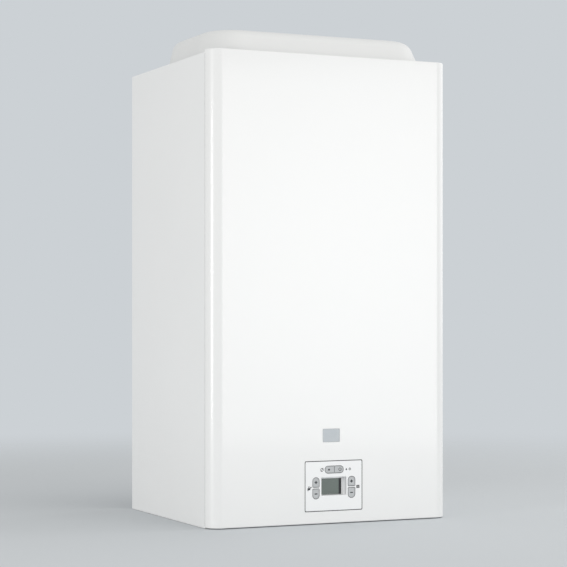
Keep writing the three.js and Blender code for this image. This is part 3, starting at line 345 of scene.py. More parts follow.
# %% One surface, from its real values
def surface(name, colour, rough, metal=0.0, coat=0.0):
    material = bpy.data.materials.new(name)
    tree = emptied(material)
    shader = add(tree, "ShaderNodeBsdfPrincipled", {"Base Color": linear(colour), "Roughness": rough,
                                                   "Metallic": metal, "Coat Weight": coat, "Coat Roughness": 0.08})
    add(tree, "ShaderNodeOutputMaterial", {}, {"Surface": shader})
    return material, tree, add(tree, "ShaderNodeTexCoord").outputs["Object"]


def patterned(material, colours, tone, roughs=None, grain=None, height=None, depth_mm=0.0, strength=0.5):
    tree = material.node_tree
    shader = tree.nodes["Principled BSDF"].inputs
    tones = add(tree, "ShaderNodeMix", {"data_type": "RGBA", 6: linear(colours[0]), 7: linear(colours[1])}, {0: tone})
    tree.links.new(tones.outputs[2], shader["Base Color"])
    if roughs:
        spread = add(tree, "ShaderNodeMapRange", {"To Min": roughs[0], "To Max": roughs[1]}, {"Value": grain or tone})
        tree.links.new(spread.outputs[0], shader["Roughness"])
    if height:
        bump = add(tree, "ShaderNodeBump", {"Strength": strength, "Distance": depth_mm * mm}, {"Height": height})
        tree.links.new(bump.outputs[0], shader["Normal"])
    return material


print("surface helpers ready")

# %% Powder coat, the white of the case
# Baked on steel, so it flows into soft "orange peel" waves a few millimetres wide. Its roughness drifts a little, but
# stays at 0.28 or more, because a drift across about 0.27 shows as a line when the picture is denoised.
for slot, name, colours, rough, peel_mm, depth_mm in (
        ("case_paint", "polyester_powder_coat_white", ("#F2F2F1", "#F6F6F5"), 0.31, 3.0, 0.012),
        ("red_paint", "epoxy_powder_coat_red", ("#A81F1B", "#B52822"), 0.35, 4.0, 0.03),
        ("motor_paint", "stove_enamel_black", ("#1E2022", "#26282A"), 0.5, 1.5, 0.02)):
    paint, tree, where = surface(name, colours[0], rough, coat=0.25)
    drift = add(tree, "ShaderNodeTexNoise", {"Scale": 1000 / 180, "Detail": 2.0}, {"Vector": where})
    peel = add(tree, "ShaderNodeTexNoise", {"Scale": 1000 / peel_mm, "Detail": 1.0}, {"Vector": where})
    roughs = rough - 0.03, rough + 0.03
    FINISH[slot] = patterned(paint, colours, drift, roughs, height=peel, depth_mm=depth_mm)
print("paints:", len(FINISH))

# %% Moulded plastic
# ABS or glass-filled nylon, injection moulded. The mould is spark eroded, which leaves a pebble of pits about half a
# millimetre wide, mostly drawn at 0.8 mm so that it shows from a step away. Gloss and glaze are wider and flatter.
for slot, name, colours, rough, pebble_mm, depth_mm, coat in (
        ("hood_plastic", "abs_moulded_white", ("#E4E5E4", "#E9E9E8"), 0.5, 1.0, 0.02, 0),
        ("fascia_plastic", "abs_gloss_white", ("#F6F7F7", "#F9F9F9"), 0.33, 2.0, 0.006, 0.2),
        ("button_rubber", "silicone_key_grey", ("#BFC1C2", "#C6C8C9"), 0.55, 0.5, 0.01, 0),
        ("box_plastic", "abs_moulded_grey", ("#A9ADB0", "#B3B7B9"), 0.55, 0.8, 0.03, 0),
        ("black_plastic", "glass_filled_nylon_black", ("#1F2123", "#2A2C2E"), 0.5, 0.8, 0.03, 0),
        ("yellow_plastic", "nylon_lever_yellow", ("#D2A722", "#DEB431"), 0.42, 0.8, 0.03, 0),
        ("ceramic", "glazed_alumina", ("#E6E1D4", "#EFEBE1"), 0.18, 3.0, 0.01, 0.4)):
    plastic, tree, where = surface(name, colours[0], rough, coat=coat)
    flow = add(tree, "ShaderNodeTexNoise", {"Scale": 1000 / 60, "Detail": 3.0}, {"Vector": where})
    pebble = add(tree, "ShaderNodeTexVoronoi", {"feature": "SMOOTH_F1", "Scale": 1000 / pebble_mm}, {"Vector": where})
    roughs = rough - 0.04, rough + 0.04
    FINISH[slot] = patterned(plastic, colours, flow, roughs, height=pebble, depth_mm=depth_mm)
print("plastics done, finishes:", len(FINISH))

# %% Bare metals
# Rolled and drawn metal carries fine scratches along one direction; a Mapping node squeezes the noise across it. Cast
# metal has a sand grain instead, a bit over half a millimetre.
for slot, name, colours, roughs, grain_mm, depth_mm in (
        ("stainless", "stainless_brushed", ("#B4B6B7", "#C6C7C8"), (0.29, 0.42), (0.25, 12, 12), 0.01),
        ("cast_aluminium", "aluminium_sand_cast", ("#9DA0A2", "#B1B3B4"), (0.42, 0.6), (0.7, 0.7, 0.7), 0.12),
        ("copper", "copper_drawn_tube", ("#A85B3A", "#C98059"), (0.29, 0.42), (1.2, 1.2, 20), 0.01),
        ("brass", "brass_hot_stamped", ("#A58847", "#C3A766"), (0.3, 0.46), (0.5, 0.5, 0.5), 0.04),
        ("badge", "aluminium_satin_anodised", ("#A4A8AB", "#B2B5B7"), (0.44, 0.52), (20, 20, 0.4), 0.008)):
    metal, tree, where = surface(name, colours[0], roughs[0], metal=1.0)
    squeeze = add(tree, "ShaderNodeMapping", {"Scale": [1000 / size for size in grain_mm]}, {"Vector": where})
    grain = add(tree, "ShaderNodeTexNoise", {"Scale": 1.0, "Detail": 3.0}, {"Vector": squeeze})
    stain = add(tree, "ShaderNodeTexNoise", {"Scale": 1000 / 35, "Detail": 4.0}, {"Vector": where})
    FINISH[slot] = patterned(metal, colours, stain, roughs, grain, height=grain, depth_mm=depth_mm)
print("metals done, finishes:", len(FINISH))

# %% [markdown]
# Galvanised sheet shows "spangle", zinc crystals 6 to 12 mm wide that reflect a little differently. A Voronoi texture
# gives each its own slight tone. Foam is a field of cells, and the circuit board is solder mask over copper tracks.

# %% Spangle, foam and circuit board
sheet, tree, where = surface("steel_hot_dip_galvanised", "#A9AEB1", 0.4, metal=1.0)
crystal = add(tree, "ShaderNodeTexVoronoi", {"Scale": 1000 / 9}, {"Vector": where})
tone = add(tree, "ShaderNodeSeparateColor", {}, {0: crystal.outputs["Color"]})
FINISH["galvanised"] = patterned(sheet, ("#A9AEB1", "#B4B8BB"), tone, (0.4, 0.45), height=crystal, depth_mm=0.01,
                                 strength=0.2)
foam, tree, where = surface("foam_closed_cell_grey", "#35373A", 0.95)
cell = add(tree, "ShaderNodeTexVoronoi", {"Scale": 1000 / 1.2}, {"Vector": where})
FINISH["foam"] = patterned(foam, ("#26282A", "#4A4C4F"), cell, height=cell, depth_mm=0.4, strength=0.8)
board, tree, where = surface("glass_epoxy_board_green", "#1F5A37", 0.35, coat=0.5)
track = add(tree, "ShaderNodeTexBrick", {"Scale": 1000 / 9, "Mortar Size": 0.06}, {"Vector": where}).outputs["Fac"]
FINISH["board"] = patterned(board, ("#1D5534", "#3C7C50"), track, height=track, depth_mm=0.05)
print("all slots have a finish but the display:", set(slot_of.values()) - set(FINISH))

# %% [markdown]
# The display is a liquid crystal cell, grey-green when it is off, with a faint grid of unlit segments and a clear
# glossy front, inside a black mask. The printed symbols on the fascia are a flat dark grey ink, and the same ink
# also paints shade round the keys.

# %% Display and ink
crystal, tree, where = surface("liquid_crystal_cell", "#606D66", 0.3, coat=1.0)
turnup = add(tree, "ShaderNodeMapping", {"Rotation": (math.pi / 2, 0, 0)}, {"Vector": where})
grid = add(tree, "ShaderNodeTexBrick", {"Scale": 1000 / 0.9, "offset": 0.0, "Mortar Size": 0.08, "Brick Width": 1.0,
                                        "Row Height": 1.0}, {"Vector": turnup}).outputs["Fac"]
FINISH["display_glass"] = patterned(crystal, ("#606D66", "#5A675F"), grid)
# one dark ink for the printed symbols and for the painted shade round the keys
INK_AND_SHADE, tree, where = surface("ink_and_painted_shade_grey", "#25282B", 0.5)
speck = add(tree, "ShaderNodeTexNoise", {"Scale": 1000 / 0.4, "Detail": 1.0}, {"Vector": where})
patterned(INK_AND_SHADE, ("#212427", "#2A2D31"), speck)
print("finishes:", len(FINISH), "and the ink")

# %% [markdown]
# ## The casing
# The front cover is one folded sheet: its upright edges are rolled to a 20 mm radius, its top and foot to a small one.
# It could be a bevelled box, but a stack of outlines gives each radius exactly. It is then hollowed, and the openings
# for the fascia, the badge and the two screws are cut.

# %% Sizes of the casing
HALF, FRONT, BACK, TOP = 197.5, -165.0, 165.0, 696.0
SHEET, ROLL = 1.2, 20.0
COVER_BACK, COVER_FOOT, COVER_TOP = -145.0, 0.8, 700
FASCIA = (-44.5, 20.1), (49.1, 93.3)
BADGE = (-15.7, 122.2), (12.1, 141.8)
SCREWS = (-172.0, -154.0), (172.0, -154.0)


def cover_outline(inset, rear=COVER_BACK):
    left = arc((-HALF + ROLL, FRONT + ROLL), ROLL - inset, 180, 270, 20)
    right = arc((HALF - ROLL, FRONT + ROLL), ROLL - inset, 270, 360, 20)
    return [(-HALF + inset, rear)] + left[1:] + right[:-1] + [(HALF - inset, rear)]


def folded_stack(foot, top, fold=1.8, steps=5):
    turns = [0.5 * math.pi * step / steps for step in range(steps + 1)]
    levels = [(fold * (1 - math.sin(t)), foot + fold * (1 - math.cos(t))) for t in turns]
    levels += [(inset, top - (height - foot)) for inset, height in reversed(levels)]
    return stacked([[(x, y, height) for x, y in cover_outline(inset)] for inset, height in levels])


def on_front(corners, radius, start, end, grow=0):
    return rounded("y", *corners, radius, (FRONT + start, FRONT + end), grow)


# %% Front cover
hollow = pulled("z", cover_outline(SHEET, COVER_BACK + 2), (COVER_FOOT + SHEET, COVER_TOP - SHEET))
dimples, cups, holes = [[rod("z", *size, at, 48, ease) for at in SCREWS] for *size, ease in
                        ((7, (-1, 2.8), 0), (8.2, (1.0, 4.0), 0.4), (2.3, (0, 6), 0))]
shell = together(cut(folded_stack(COVER_FOOT, COVER_TOP), hollow), *cups)
shell = cut(shell, on_front(FASCIA, 0.7, -1, 3, grow=1.2), on_front(BADGE, 0.8, -1, 0.9, grow=0.3), *dimples, *holes)
cover = finished("front_cover_sheet", "front_panel", shell, edge=0.3)
print("front cover:", len(cover.data.polygons), "faces")

# %% [markdown]
# The side panels are flat sheets with a narrow flange turned in behind the cover. The joint between the two is 0.8 mm
# wide and shows as a dark upright line. A strip of black fills it almost to the surface: it is painted shade, a dark
# piece standing in for the shadow inside the joint.

# %% Side panels
BEND, FLANGE, FLANGE_REAR, FLANGE_FACE = 1.4, 14, -143.0, -144.2
for side, node, turn in ((-1, "side_panel_left", (180, 270)), (1, "side_panel_right", (0, -90))):
    bend = arc((side * (HALF - BEND), -142.8), BEND, *turn, 6)
    bent = [*reversed(bend), (side * HALF, BACK), (side * (HALF - SHEET), BACK),
            (side * (HALF - SHEET), FLANGE_REAR), (side * (HALF - FLANGE), FLANGE_REAR),
            (side * (HALF - FLANGE), FLANGE_FACE)]
    finished(node + "_sheet", node, pulled("z", bent, (0, TOP)), edge=0.25)
    # black strip in the joint between cover and side panel: painted shade for the shadow in that gap
    strip = block(sorted((side * 195.6, side * 197.4)), (-144.95, -144.25), (3, 694))
    finished(node + "_joint_shade_strip", None, strip, edge=0.08, body="front_cover", slot=BLACK)
print("side panels: 2")

# %% [markdown]
# ## The hood
# The moulded hood hides the flue connection. It tapers, and all its corners are round. A stack of rounded outlines,
# each a little smaller than the one below, follows that taper and rolls over into the flat top. The same stack, 3 mm
# smaller, hollows it, and a round opening for the flue is cut in its top.

# %% Hood
FLUE = 0, -20.25


def hood_stack(wall, foot, fillet=13.0, steps=8):
    height = 41.5 - wall
    rings = [(foot, 0.0, 0.0), (height - fillet, 0.0, (height - fillet) / height)]
    for step in range(1, steps + 1):
        angle = 0.5 * math.pi * step / steps
        rise = height - fillet + fillet * math.sin(angle)
        rings.append((rise, fillet * (1 - math.cos(angle)), rise / height))
    outlines = []
    for rise, inset, share in rings:
        half = 185.5 - wall - 11.5 * share - inset
        front, rear = -141 + wall + 21.5 * share + inset, 82 - wall - 3 * share - inset
        outline = cornered((-half, front), (half, rear), [60 - 8 * share - wall - inset] * 4, steps=14)
        outlines.append([(x, y, TOP + rise) for x, y in outline])
    return stacked(outlines)


hood_hole = rod("z", 64.5, (TOP + 10, TOP + 60), FLUE, sides=96, ease=0)
hood = cut(cut(hood_stack(0, 0), hood_stack(3, -1)), hood_hole)
hood = finished("hood_moulding", "top_hood", hood, edge=0.8, steps=3)
print("hood:", len(hood.data.polygons), "faces")

# %% [markdown]
# ## The control fascia
# The fascia is a glossy moulded plate with a deep well for the display and tight holes for six soft keys, whose corners
# are rounder on their outer side. A white bezel frames the display's black mask, and a thin black lip fills the gap
# round the plate as painted shade, standing in for the shadow in that gap: both are a larger outline less a smaller
# one.

# %% Fascia, display and badge
WINDOW = (-18.3, 42.5), (23.5, 69.9)
MASK = (-18.1, 42.7), (20.1, 67.0)
SOFT, TIGHT = 4.8, 0.8
KEYS = {"mode_button": ((-12.1, 75.9), (3.25, 85.9), (SOFT, TIGHT, TIGHT, SOFT)),
        "reset_button": ((3.75, 75.9), (17.9, 85.9), (TIGHT, SOFT, SOFT, TIGHT))}
for pair, left, right in (("hot_water", -32.2, -22.2), ("heating", 26.6, 37.4)):
    KEYS[pair + "_up_button"] = (left, 55.7), (right, 69.4), (SOFT, SOFT, TIGHT, TIGHT)
    KEYS[pair + "_down_button"] = (left, 38.3), (right, 52.6), (TIGHT, TIGHT, SOFT, SOFT)
key_holes = [pulled("y", cornered(*key, grow=0.3), (FRONT - 1, FRONT + 4)) for key in KEYS.values()]
window = on_front(WINDOW, 0.6, -1, 13)
plate = cut(cut(on_front(FASCIA, 1.5, 0, 3), *key_holes), window.copy())
well = cut(on_front(WINDOW, 0.6, 2, 12, grow=1.2), window)
bezel = cut(on_front(WINDOW, 0.6, 10.6, 11.9, grow=0.2), on_front(MASK, 0.4, 10, 13))
glass = on_front(((-17.9, 43.0), (15.8, 66.8)), 0.5, 10.9, 11.2)
# thin black lip in the gap round the fascia: painted shade for the shadow in that gap
lip = cut(on_front(FASCIA, 0.7, 0.3, 2.2, grow=1.15), on_front(FASCIA, 1.5, 0, 3, grow=0.06))
finished("fascia_plate", "control_fascia", plate, edge=0.3)
finished("fascia_well", None, well, edge=0.2, body="control_box", slot="fascia_plastic")
finished("display_mask", "display_lens", on_front(MASK, 0.4, 11, 12), edge=0.15, finish=FINISH[BLACK])
finished("display_bezel", None, bezel, edge=0.15, body="control_box", slot="fascia_plastic")
finished("display_cell", None, glass, edge=0.08, body="control_box", slot="display_glass")
finished("fascia_gap_shade", None, lip, edge=0.05, body="front_cover", slot=BLACK)
finished("badge_bare_plate", "badge_plate", on_front(BADGE, 0.8, 0, 0.6), edge=0.2)
print("fascia with", len(key_holes), "key holes")

# %% [markdown]
# The key caps are soft, so their edges are well rounded. The side keys carry a plus or a minus, the top keys a square
# and an open ring. Beside them stand generic symbols: rings, a flame, a tap and a radiator. Every symbol is a very
# thin piece of its own, like pad-printed ink.

# %% Key caps and symbols
# Draws thin dark marks in one ink: printed symbols, and painted shade round the keys.
def ink_and_shade_marks(name, outlines, body, depth=0.06):
    marks = [pulled("y", outline, (FRONT - depth, FRONT + 0.04)) for outline in outlines]
    finished(name, None, *marks, edge=0, body=body, slot="button_rubber", finish=INK_AND_SHADE)


def bar_mark(x, z, wide, high):
    return [(x + side * wide / 2, z + up * high / 2) for side, up in ((-1, -1), (1, -1), (1, 1), (-1, 1))]


def ring_mark(x, z, radius, wide, start=0, end=360, steps=28):
    outer, inner = arc((x, z), radius, start, end, steps), arc((x, z), radius - wide, start, end, steps)
    return [[outer[i], outer[i + 1], inner[i + 1], inner[i]] for i in range(steps)]


for node, (low, high, radii) in KEYS.items():
    x, z = (low[0] + high[0]) / 2, (low[1] + high[1]) / 2
    cap = pulled("y", cornered(low, high, radii), (FRONT, FRONT + 3.3))
    stem = rod("y", 2.5, (FRONT + 3.2, FRONT + 19.5), (x, z), 24, ease=0.2)
    flange = block((low[0], high[0]), (FRONT + 3.3, FRONT + 4.5), (low[1] - 0.6, high[1] + 0.6))
    finished(node + "_key", node, cap, stem, flange, edge=0.55, steps=3)
    marks = [bar_mark(x, z, 4.6, 1.6)]
    if node == "mode_button":
        marks = [bar_mark(x - 1.2, z, 2.6, 2.6)]
    if node == "reset_button":
        marks = ring_mark(x + 1.8, z, 2.5, 0.8, 130, 410) + [bar_mark(x + 1.8, z + 1.9, 0.8, 2.2)]
    if "_up_" in node:
        marks += [bar_mark(x, z + side, 1.6, 1.5) for side in (-1.55, 1.55)]
    ink_and_shade_marks(node + "_mark", marks, node)
print("keys:", len(KEYS))

# %% Symbols on the fascia, and painted shade round the keys
symbols = ring_mark(-17.3, 81.0, 2.7, 0.7) + [[(-19.4, 78.6), (-18.8, 78.2), (-15.2, 83.4), (-15.8, 83.8)]]
symbols += ring_mark(29.1, 80.8, 2.0, 0.6) + [[(29.1, 79.9), (30.0, 80.8), (29.1, 81.7), (28.2, 80.8)]]
symbols += [[(21.8, 79.4), (24.6, 79.4), (23.9, 81.4), (23.2, 82.8), (22.5, 81.4)]]
symbols += [bar_mark(-38.9, 53.0, 4.4, 3.0), bar_mark(-36.1, 55.4, 1.2, 1.4), bar_mark(-38.9, 55.2, 1.0, 1.6),
            bar_mark(-38.9, 56.3, 3.2, 0.8), [(-36.9, 53.6), (-34.3, 55.4), (-34.3, 56.4), (-36.9, 54.8)],
            bar_mark(-40.4, 50.9, 1.3, 1.4)]
symbols += [bar_mark(40.7 + 1.35 * step, 54.1, 0.95, 4.4) for step in range(4)]
symbols += [bar_mark(42.7, 55.9, 5.2, 0.7), bar_mark(42.7, 52.3, 5.2, 0.7)]
ink_and_shade_marks("fascia_symbols", symbols, "control_box")
# Dark rings round the keys are painted shade: ink standing in for the shadow in the gaps round the keys.
key_gap_shades = {name: key for name, key in KEYS.items() if "_water_" in name or "heating_" in name}
key_gap_shades["top_keys"] = KEYS["mode_button"][0], KEYS["reset_button"][1], (SOFT,) * 4
for name, key in key_gap_shades.items():
    inner, outer = cornered(*key, grow=0.26), cornered(*key, grow=0.8)
    edges = [[outer[i - 1], outer[i], inner[i], inner[i - 1]] for i in range(len(outer))]
    ink_and_shade_marks(name + "_gap_shade", edges, "control_box", depth=0.03)
# A thin black bar in the split between the two top keys: painted shade for the shadow in that gap.
split_shade = pulled("y", bar_mark(3.5, 80.9, 0.36, 10), (FRONT + 0.3, FRONT + 3.2))
finished("top_keys_split_shade", None, split_shade, edge=0, body="control_box", slot=BLACK)
print("symbols printed:", len(symbols))

# %% [markdown]
# ## What repeats, with Geometry Nodes
# A boiler is full of equal things in a row or a ring: screws, rivets, fins, plates, blades. Copies made by hand are
# slow to change. This node tree puts a point for each copy along a line, turns each a little further than the last,
# and makes the result real. With a step it is a row; with no step and a turn, a ring.

# %% Tree: equal pieces in a row or a ring
def node_tree(name, sockets):
    tree = bpy.data.node_groups.new(name, "GeometryNodeTree")
    keys = {label: tree.interface.new_socket(label, in_out="INPUT", socket_type="NodeSocket" + kind).identifier
            for label, kind in {"Geometry": "Geometry", **sockets, "Finish": "Material"}.items()}
    tree.interface.new_socket("Geometry", in_out="OUTPUT", socket_type="NodeSocketGeometry")
    return tree, keys, add(tree, "NodeGroupInput").outputs


def made_real(tree, made, finish):
    real = add(tree, "GeometryNodeRealizeInstances", {}, {0: made})
    dressed = add(tree, "GeometryNodeSetMaterial", {}, {"Geometry": real, "Material": finish})
    add(tree, "NodeGroupOutput", {}, {0: dressed})


def grown(shape, tree, keys, values):
    holder = as_object("grown", together(shape))
    maker = holder.modifiers.new("nodes", "NODES")
    maker.node_group = tree
    for label, value in values.items():
        maker[keys[label]] = value
    return as_shape(holder)


row_tree, row_keys, given = node_tree(
    "equal_pieces", {"Count": "Int", "First place": "Vector", "Step": "Vector", "Turn per copy": "Vector"})
places = add(row_tree, "GeometryNodeMeshLine", {"mode": "OFFSET"},
             {"Count": given["Count"], "Start Location": given["First place"], "Offset": given["Step"]})
which = add(row_tree, "GeometryNodeInputIndex")
turned_by = add(row_tree, "ShaderNodeVectorMath", {"operation": "SCALE"},
                {"Vector": given["Turn per copy"], "Scale": which})
copies = add(row_tree, "GeometryNodeInstanceOnPoints", {},
             {"Points": places, "Instance": given["Geometry"], "Rotation": turned_by})
made_real(row_tree, copies, given["Finish"])


def row(shape, count, first, step, finish="stainless", turn=(0, 0, 0)):
    return grown(shape, row_tree, row_keys, {
        "Count": count, "First place": [float(v) for v in first], "Step": [float(v) for v in step],
        "Turn per copy": [math.radians(angle) for angle in turn], "Finish": FINISH[finish]})


def around(axis, shape, count, at, finish="stainless", reach=0, degrees=360):
    turn = [degrees / count if name == axis else 0 for name in "xyz"]
    return row(shape, count, along(axis, *at, reach), (0, 0, 0), finish, turn)


print("row and ring tree:", len(row_tree.nodes), "nodes")

# %% [markdown]
# A bender pulls a pipe round smooth bends, so its middle line is a spline through a few set points. The second tree
# turns that line into a curve and runs a round section along it, with both ends closed.

# %% Tree: a pipe along its route
pipe_tree, pipe_keys, given = node_tree("pipe_on_route", {"Radius": "Float", "Sides": "Int"})
line = add(pipe_tree, "GeometryNodeMeshToCurve", {}, {"Mesh": given["Geometry"]})
section = add(pipe_tree, "GeometryNodeCurvePrimitiveCircle", {},
              {"Resolution": given["Sides"], "Radius": given["Radius"]})
skin = add(pipe_tree, "GeometryNodeCurveToMesh", {"Fill Caps": True}, {"Curve": line, "Profile Curve": section})
made_real(pipe_tree, skin, given["Finish"])


def bent_route(points, steps=10):
    points = [Vector(point) for point in points]
    points = [points[0] * 2 - points[1], *points, points[-1] * 2 - points[-2]]
    route = []
    for a, b, c, d in zip(points, points[1:], points[2:], points[3:]):
        first, middle, last = [(q - p).length ** 0.5 for p, q in ((a, b), (b, c), (c, d))]
        out = ((b - a) / first - (c - a) / (first + middle) + (c - b) / middle) * middle
        into = ((c - b) / middle - (d - b) / (middle + last) + (d - c) / last) * middle
        for t in [step / steps for step in range(steps)]:
            route.append(b + out * t + (3 * (c - b) - 2 * out - into) * t ** 2 + (2 * (b - c) + out + into) * t ** 3)
    return [*route, points[-2]]


def pipe(points, radius, finish="copper", sides=28):
    line = bmesh.new()
    spots = [line.verts.new(point) for point in bent_route(points)]
    for start, end in zip(spots, spots[1:]):
        line.edges.new((start, end))
    return grown(line, pipe_tree, pipe_keys, {"Radius": float(radius), "Sides": sides, "Finish": FINISH[finish]})


print("pipe tree:", len(pipe_tree.nodes), "nodes")

# %% [markdown]
# A screw's head is a small turned profile with a cross cut in it, and its thread is one turned crest, repeated up the
# shank. A pipe has a union nut at each end: a hexagon with eased corners.

# %% Screws, threads and nuts
FACING = {"x": (0, 90, 0), "y": (-90, 0, 0), "-y": (90, 0, 0), "z": (0, 0, 0), "-z": (180, 0, 0)}


def pan_head(towards, place, radius=3.2, high=1.8):
    head = turned("z", eased([(0, 0), (radius, 0), (radius * 0.86, high), (0, high)], high * 0.45), sides=24)
    reach, slot, depth = (-radius * 0.62, radius * 0.62), (-0.4, 0.4), (high * 0.35, high + 1)
    return moved(cut(head, block(reach, slot, depth), block(slot, reach, depth)), place, FACING[towards])


def threaded(radius, span, at, pitch=1.8):
    low, high = span
    crest = turned("z", [(radius - 0.8, 0), (radius, pitch * 0.4), (radius, pitch * 0.6), (radius - 0.8, pitch)],
                   sides=40)
    turns = row(crest, int((high - low) / pitch), (0, 0, low), (0, 0, pitch), "brass")
    return moved(turns, (*at, 0))


def hexagon(radius, span, at=(0, 0), axis="z", ease=0.8):
    return rod(axis, radius, span, at, 6, ease)


def pipe_with_nuts(node, route, radius, nut_radius, nut_high, *places):
    nuts = [moved(hexagon(nut_radius, (0, nut_high)), place) for place in places]
    finished(node + "_tube", node, pipe(route, radius), *nuts, edge=0.3)


print("screws, threads and nuts ready")

# %% [markdown]
# ## Folded sheet inside the case
# Back, top, rail, tray and bracket are folded on a press brake. The frame already has their folds, so each is copied,
# its loose triangles are merged into flat faces, and its edges are rolled. Then come the things a press shop adds:
# stiffening ridges, rivets, fixing holes and rubber grommets.

# %% Sheet parts from the frame
def sheet_of(node):
    shape = bmesh.new()
    shape.from_mesh(frame["nodes"][node].data)
    bmesh.ops.remove_doubles(shape, verts=shape.verts, dist=1e-6)
    bmesh.ops.dissolve_limit(shape, angle_limit=math.radians(1), verts=shape.verts, edges=shape.edges)
    bmesh.ops.scale(shape, vec=(1 / mm, 1 / mm, 1 / mm), verts=shape.verts)
    return shape


def rivets(axis, span, count, first, step):
    return row(rod(axis, 2.6, span, sides=20), count, first, (step, 0, 0), "galvanised")


ridge = stacked([[(x, y, z) for x, z in cornered((-130, -9), (130, 9), [9] * 4, grow=-inset)]
                 for y, inset in ((152.6, 0), (154, 0.6), (156.2, 4))])
ridges = row(ridge, 5, (0, 0, 90), (0, 0, 115), "galvanised")
back = finished("back_frame_sheet", "back_frame", sheet_of("back_frame"), ridges,
                rivets("y", (0, 1.1), 6, (-165, 152.9, 24), 66), edge=0.3)
hooks = [rounded("y", (x - 9, 649), (x + 9, 656), 3.4, (158, 168)) for x in (-90, 0, 90)]
bracket = cut(sheet_of("wall_bracket"), *[rod("y", 4, (158, 168), (x, 652), ease=0) for x in (-130, -50, 50, 130)],
              *hooks)
finished("wall_bracket_plate", "wall_bracket", bracket, edge=0.35)
finished("lower_rail_sheet", "lower_rail", sheet_of("lower_rail"), rivets("z", (5.6, 6.9), 5, (-140, -118, 0), 70),
         edge=0.25)
finished("top_panel_sheet", "top_panel", sheet_of("top_panel"), rivets("z", (695.2, 696.6), 6, (-165, 156, 0), 66),
         edge=0.25)
finished("pipe_tray_sheet", "pipe_tray", sheet_of("pipe_tray"), edge=0.25)
grommet = ring("z", 11.15, 15, (61.3, 63.4), ease=0.8)
finished("pipe_grommets", None, row(grommet, 5, (-120, 20, 0), (60, 0, 0), BLACK),
         edge=0, body=body_of["pipe_tray"], slot=BLACK)
finished("foam_gasket", "panel_gasket", sheet_of("panel_gasket"), edge=1.2)
print("sheet parts:", len(back.data.polygons), "faces in the back frame")

# %% Cover screws
for at, node in zip(SCREWS, ("panel_screw_left", "panel_screw_right")):
    head = pan_head("-z", (*at, 2.5), 4.5, 1.6)
    shank = rod("z", 1.7, (2.4, 11.1), at, 20, ease=0.3)
    finished(node + "_pan_head", node, head, shank, threaded(2.0, (3, 11), at, 0.8), edge=0)
print("cover screws: 2")

# %% [markdown]
# ## The flue
# Two plastic rings stand one in the other: flue gas leaves through the inner one, and air comes down the gap. Turned
# profiles give their lips, and one rib, repeated three times, holds the inner ring in the middle.

# %% Flue rings and duct
collar = turned("z", [(50, 672), (52.2, 672), (52.5, 673), (52.5, 695.7), (63.5, 695.9), (63.5, 698.6), (63, 699),
                      (53.5, 699), (52.5, 700), (52.5, 726), (53.4, 727), (53.4, 730), (52.5, 731), (52.2, 733.5),
                      (50.3, 733.5), (50, 733)], FLUE, 96)
flange_screws = around("z", pan_head("z", (58.5, 0, 698.8)), 4, FLUE, BLACK)
finished("flue_collar_ring", "flue_collar", collar, flange_screws, edge=0)
socket = turned("z", [(30, 672), (32.2, 672), (32.5, 673), (32.5, 728), (33.6, 729), (33.6, 732), (32.6, 733.5),
                      (30.6, 733.5), (30, 732)], FLUE, 96)
spacer = moved(block((31.8, 49.6), (-1.5, 1.5), (675, 690)), turn=(0, 0, 90))
finished("flue_socket_ring", "flue_socket", socket, around("z", spacer, 3, FLUE, BLACK), edge=0.2)
DUCT = [(-60, -19.9, 556.3), (-60, -19.9, 579.4), (*FLUE, 648.6), (*FLUE, 671.7)]
inside = pipe([(-60, -19.9, 555), *DUCT[1:3], (*FLUE, 673)], 30, BLACK, 48)
finished("flue_duct_tube", "flue_duct", cut(pipe(DUCT, 32.5, BLACK, 48), inside), edge=0.3)
print("flue: 3 pieces")

# %% [markdown]
# ## The combustion unit
# The heat exchanger is a stainless coil in a shell with pressed bands. It could be a plain drum, but its bands and
# screws are what one sees with the cover off. A turned profile gives the drum, and the bands and coil are repeated.

# %% Heat exchanger
HEAT = -60, 450
SPIGOTS = {(-110, -39.9): 372, (-20, 10.2): 370, (-60, 25.2): 362}
drum = turned("y", eased([(0, -80), (102, -80), (102, 40.2), (0, 40.2)], 3), HEAT, 96)
bar_plate = rounded("y", (-172, 480), (172, 500), 3, (39.2, 46.2))
stub = rod("z", 32.5, (534, 556), (HEAT[0], -19.9), 64)
spigots = [rod("z", 9, (335, top), at, 40) for at, top in SPIGOTS.items()]
body = cut(together(drum, bar_plate, stub, *spigots), rod("y", 80, (-90, 30.2), HEAT, 96, 0),
           rod("z", 30, (500, 560), (HEAT[0], -19.9), 64, 0))
band = turned("y", [(101, 0), (104.4, 1.2), (105, 3), (105, 6), (104.4, 7.8), (101, 9)], sides=96)
bands = row(band, 8, along("y", *HEAT, -72), (0, 13, 0))
lip = ring("y", 98, 105, (-80, -76.5), HEAT, 96, 0.8)
coil = row(ring("y", 77.4, 80.4, (0, 6.5), sides=96, ease=1.4), 12, along("y", *HEAT, -68), (0, 8, 0))
bar_screws = row(pan_head("-y", (0, 39.4, 490)), 2, (-164, 0, 0), (328, 0, 0))
nuts = [hexagon(13, (339, 347), at) for at in SPIGOTS]
exchanger = finished("heat_exchanger_shell", "heat_exchanger", body, bands, lip, coil, bar_screws, *nuts, edge=0.3)
print("heat exchanger:", len(exchanger.data.polygons), "faces")

# %% [markdown]
# The burner door is an aluminium casting with a ring of cooling ribs and bolts, and the gas and air mixture enters it
# through a flat duct from the fan. The burner behind it is a stainless tube with small ports, drawn as thin black
# discs on its face: painted shade standing in for the dark of the holes. One disc is repeated in a row, and the row is
# then repeated round the tube.

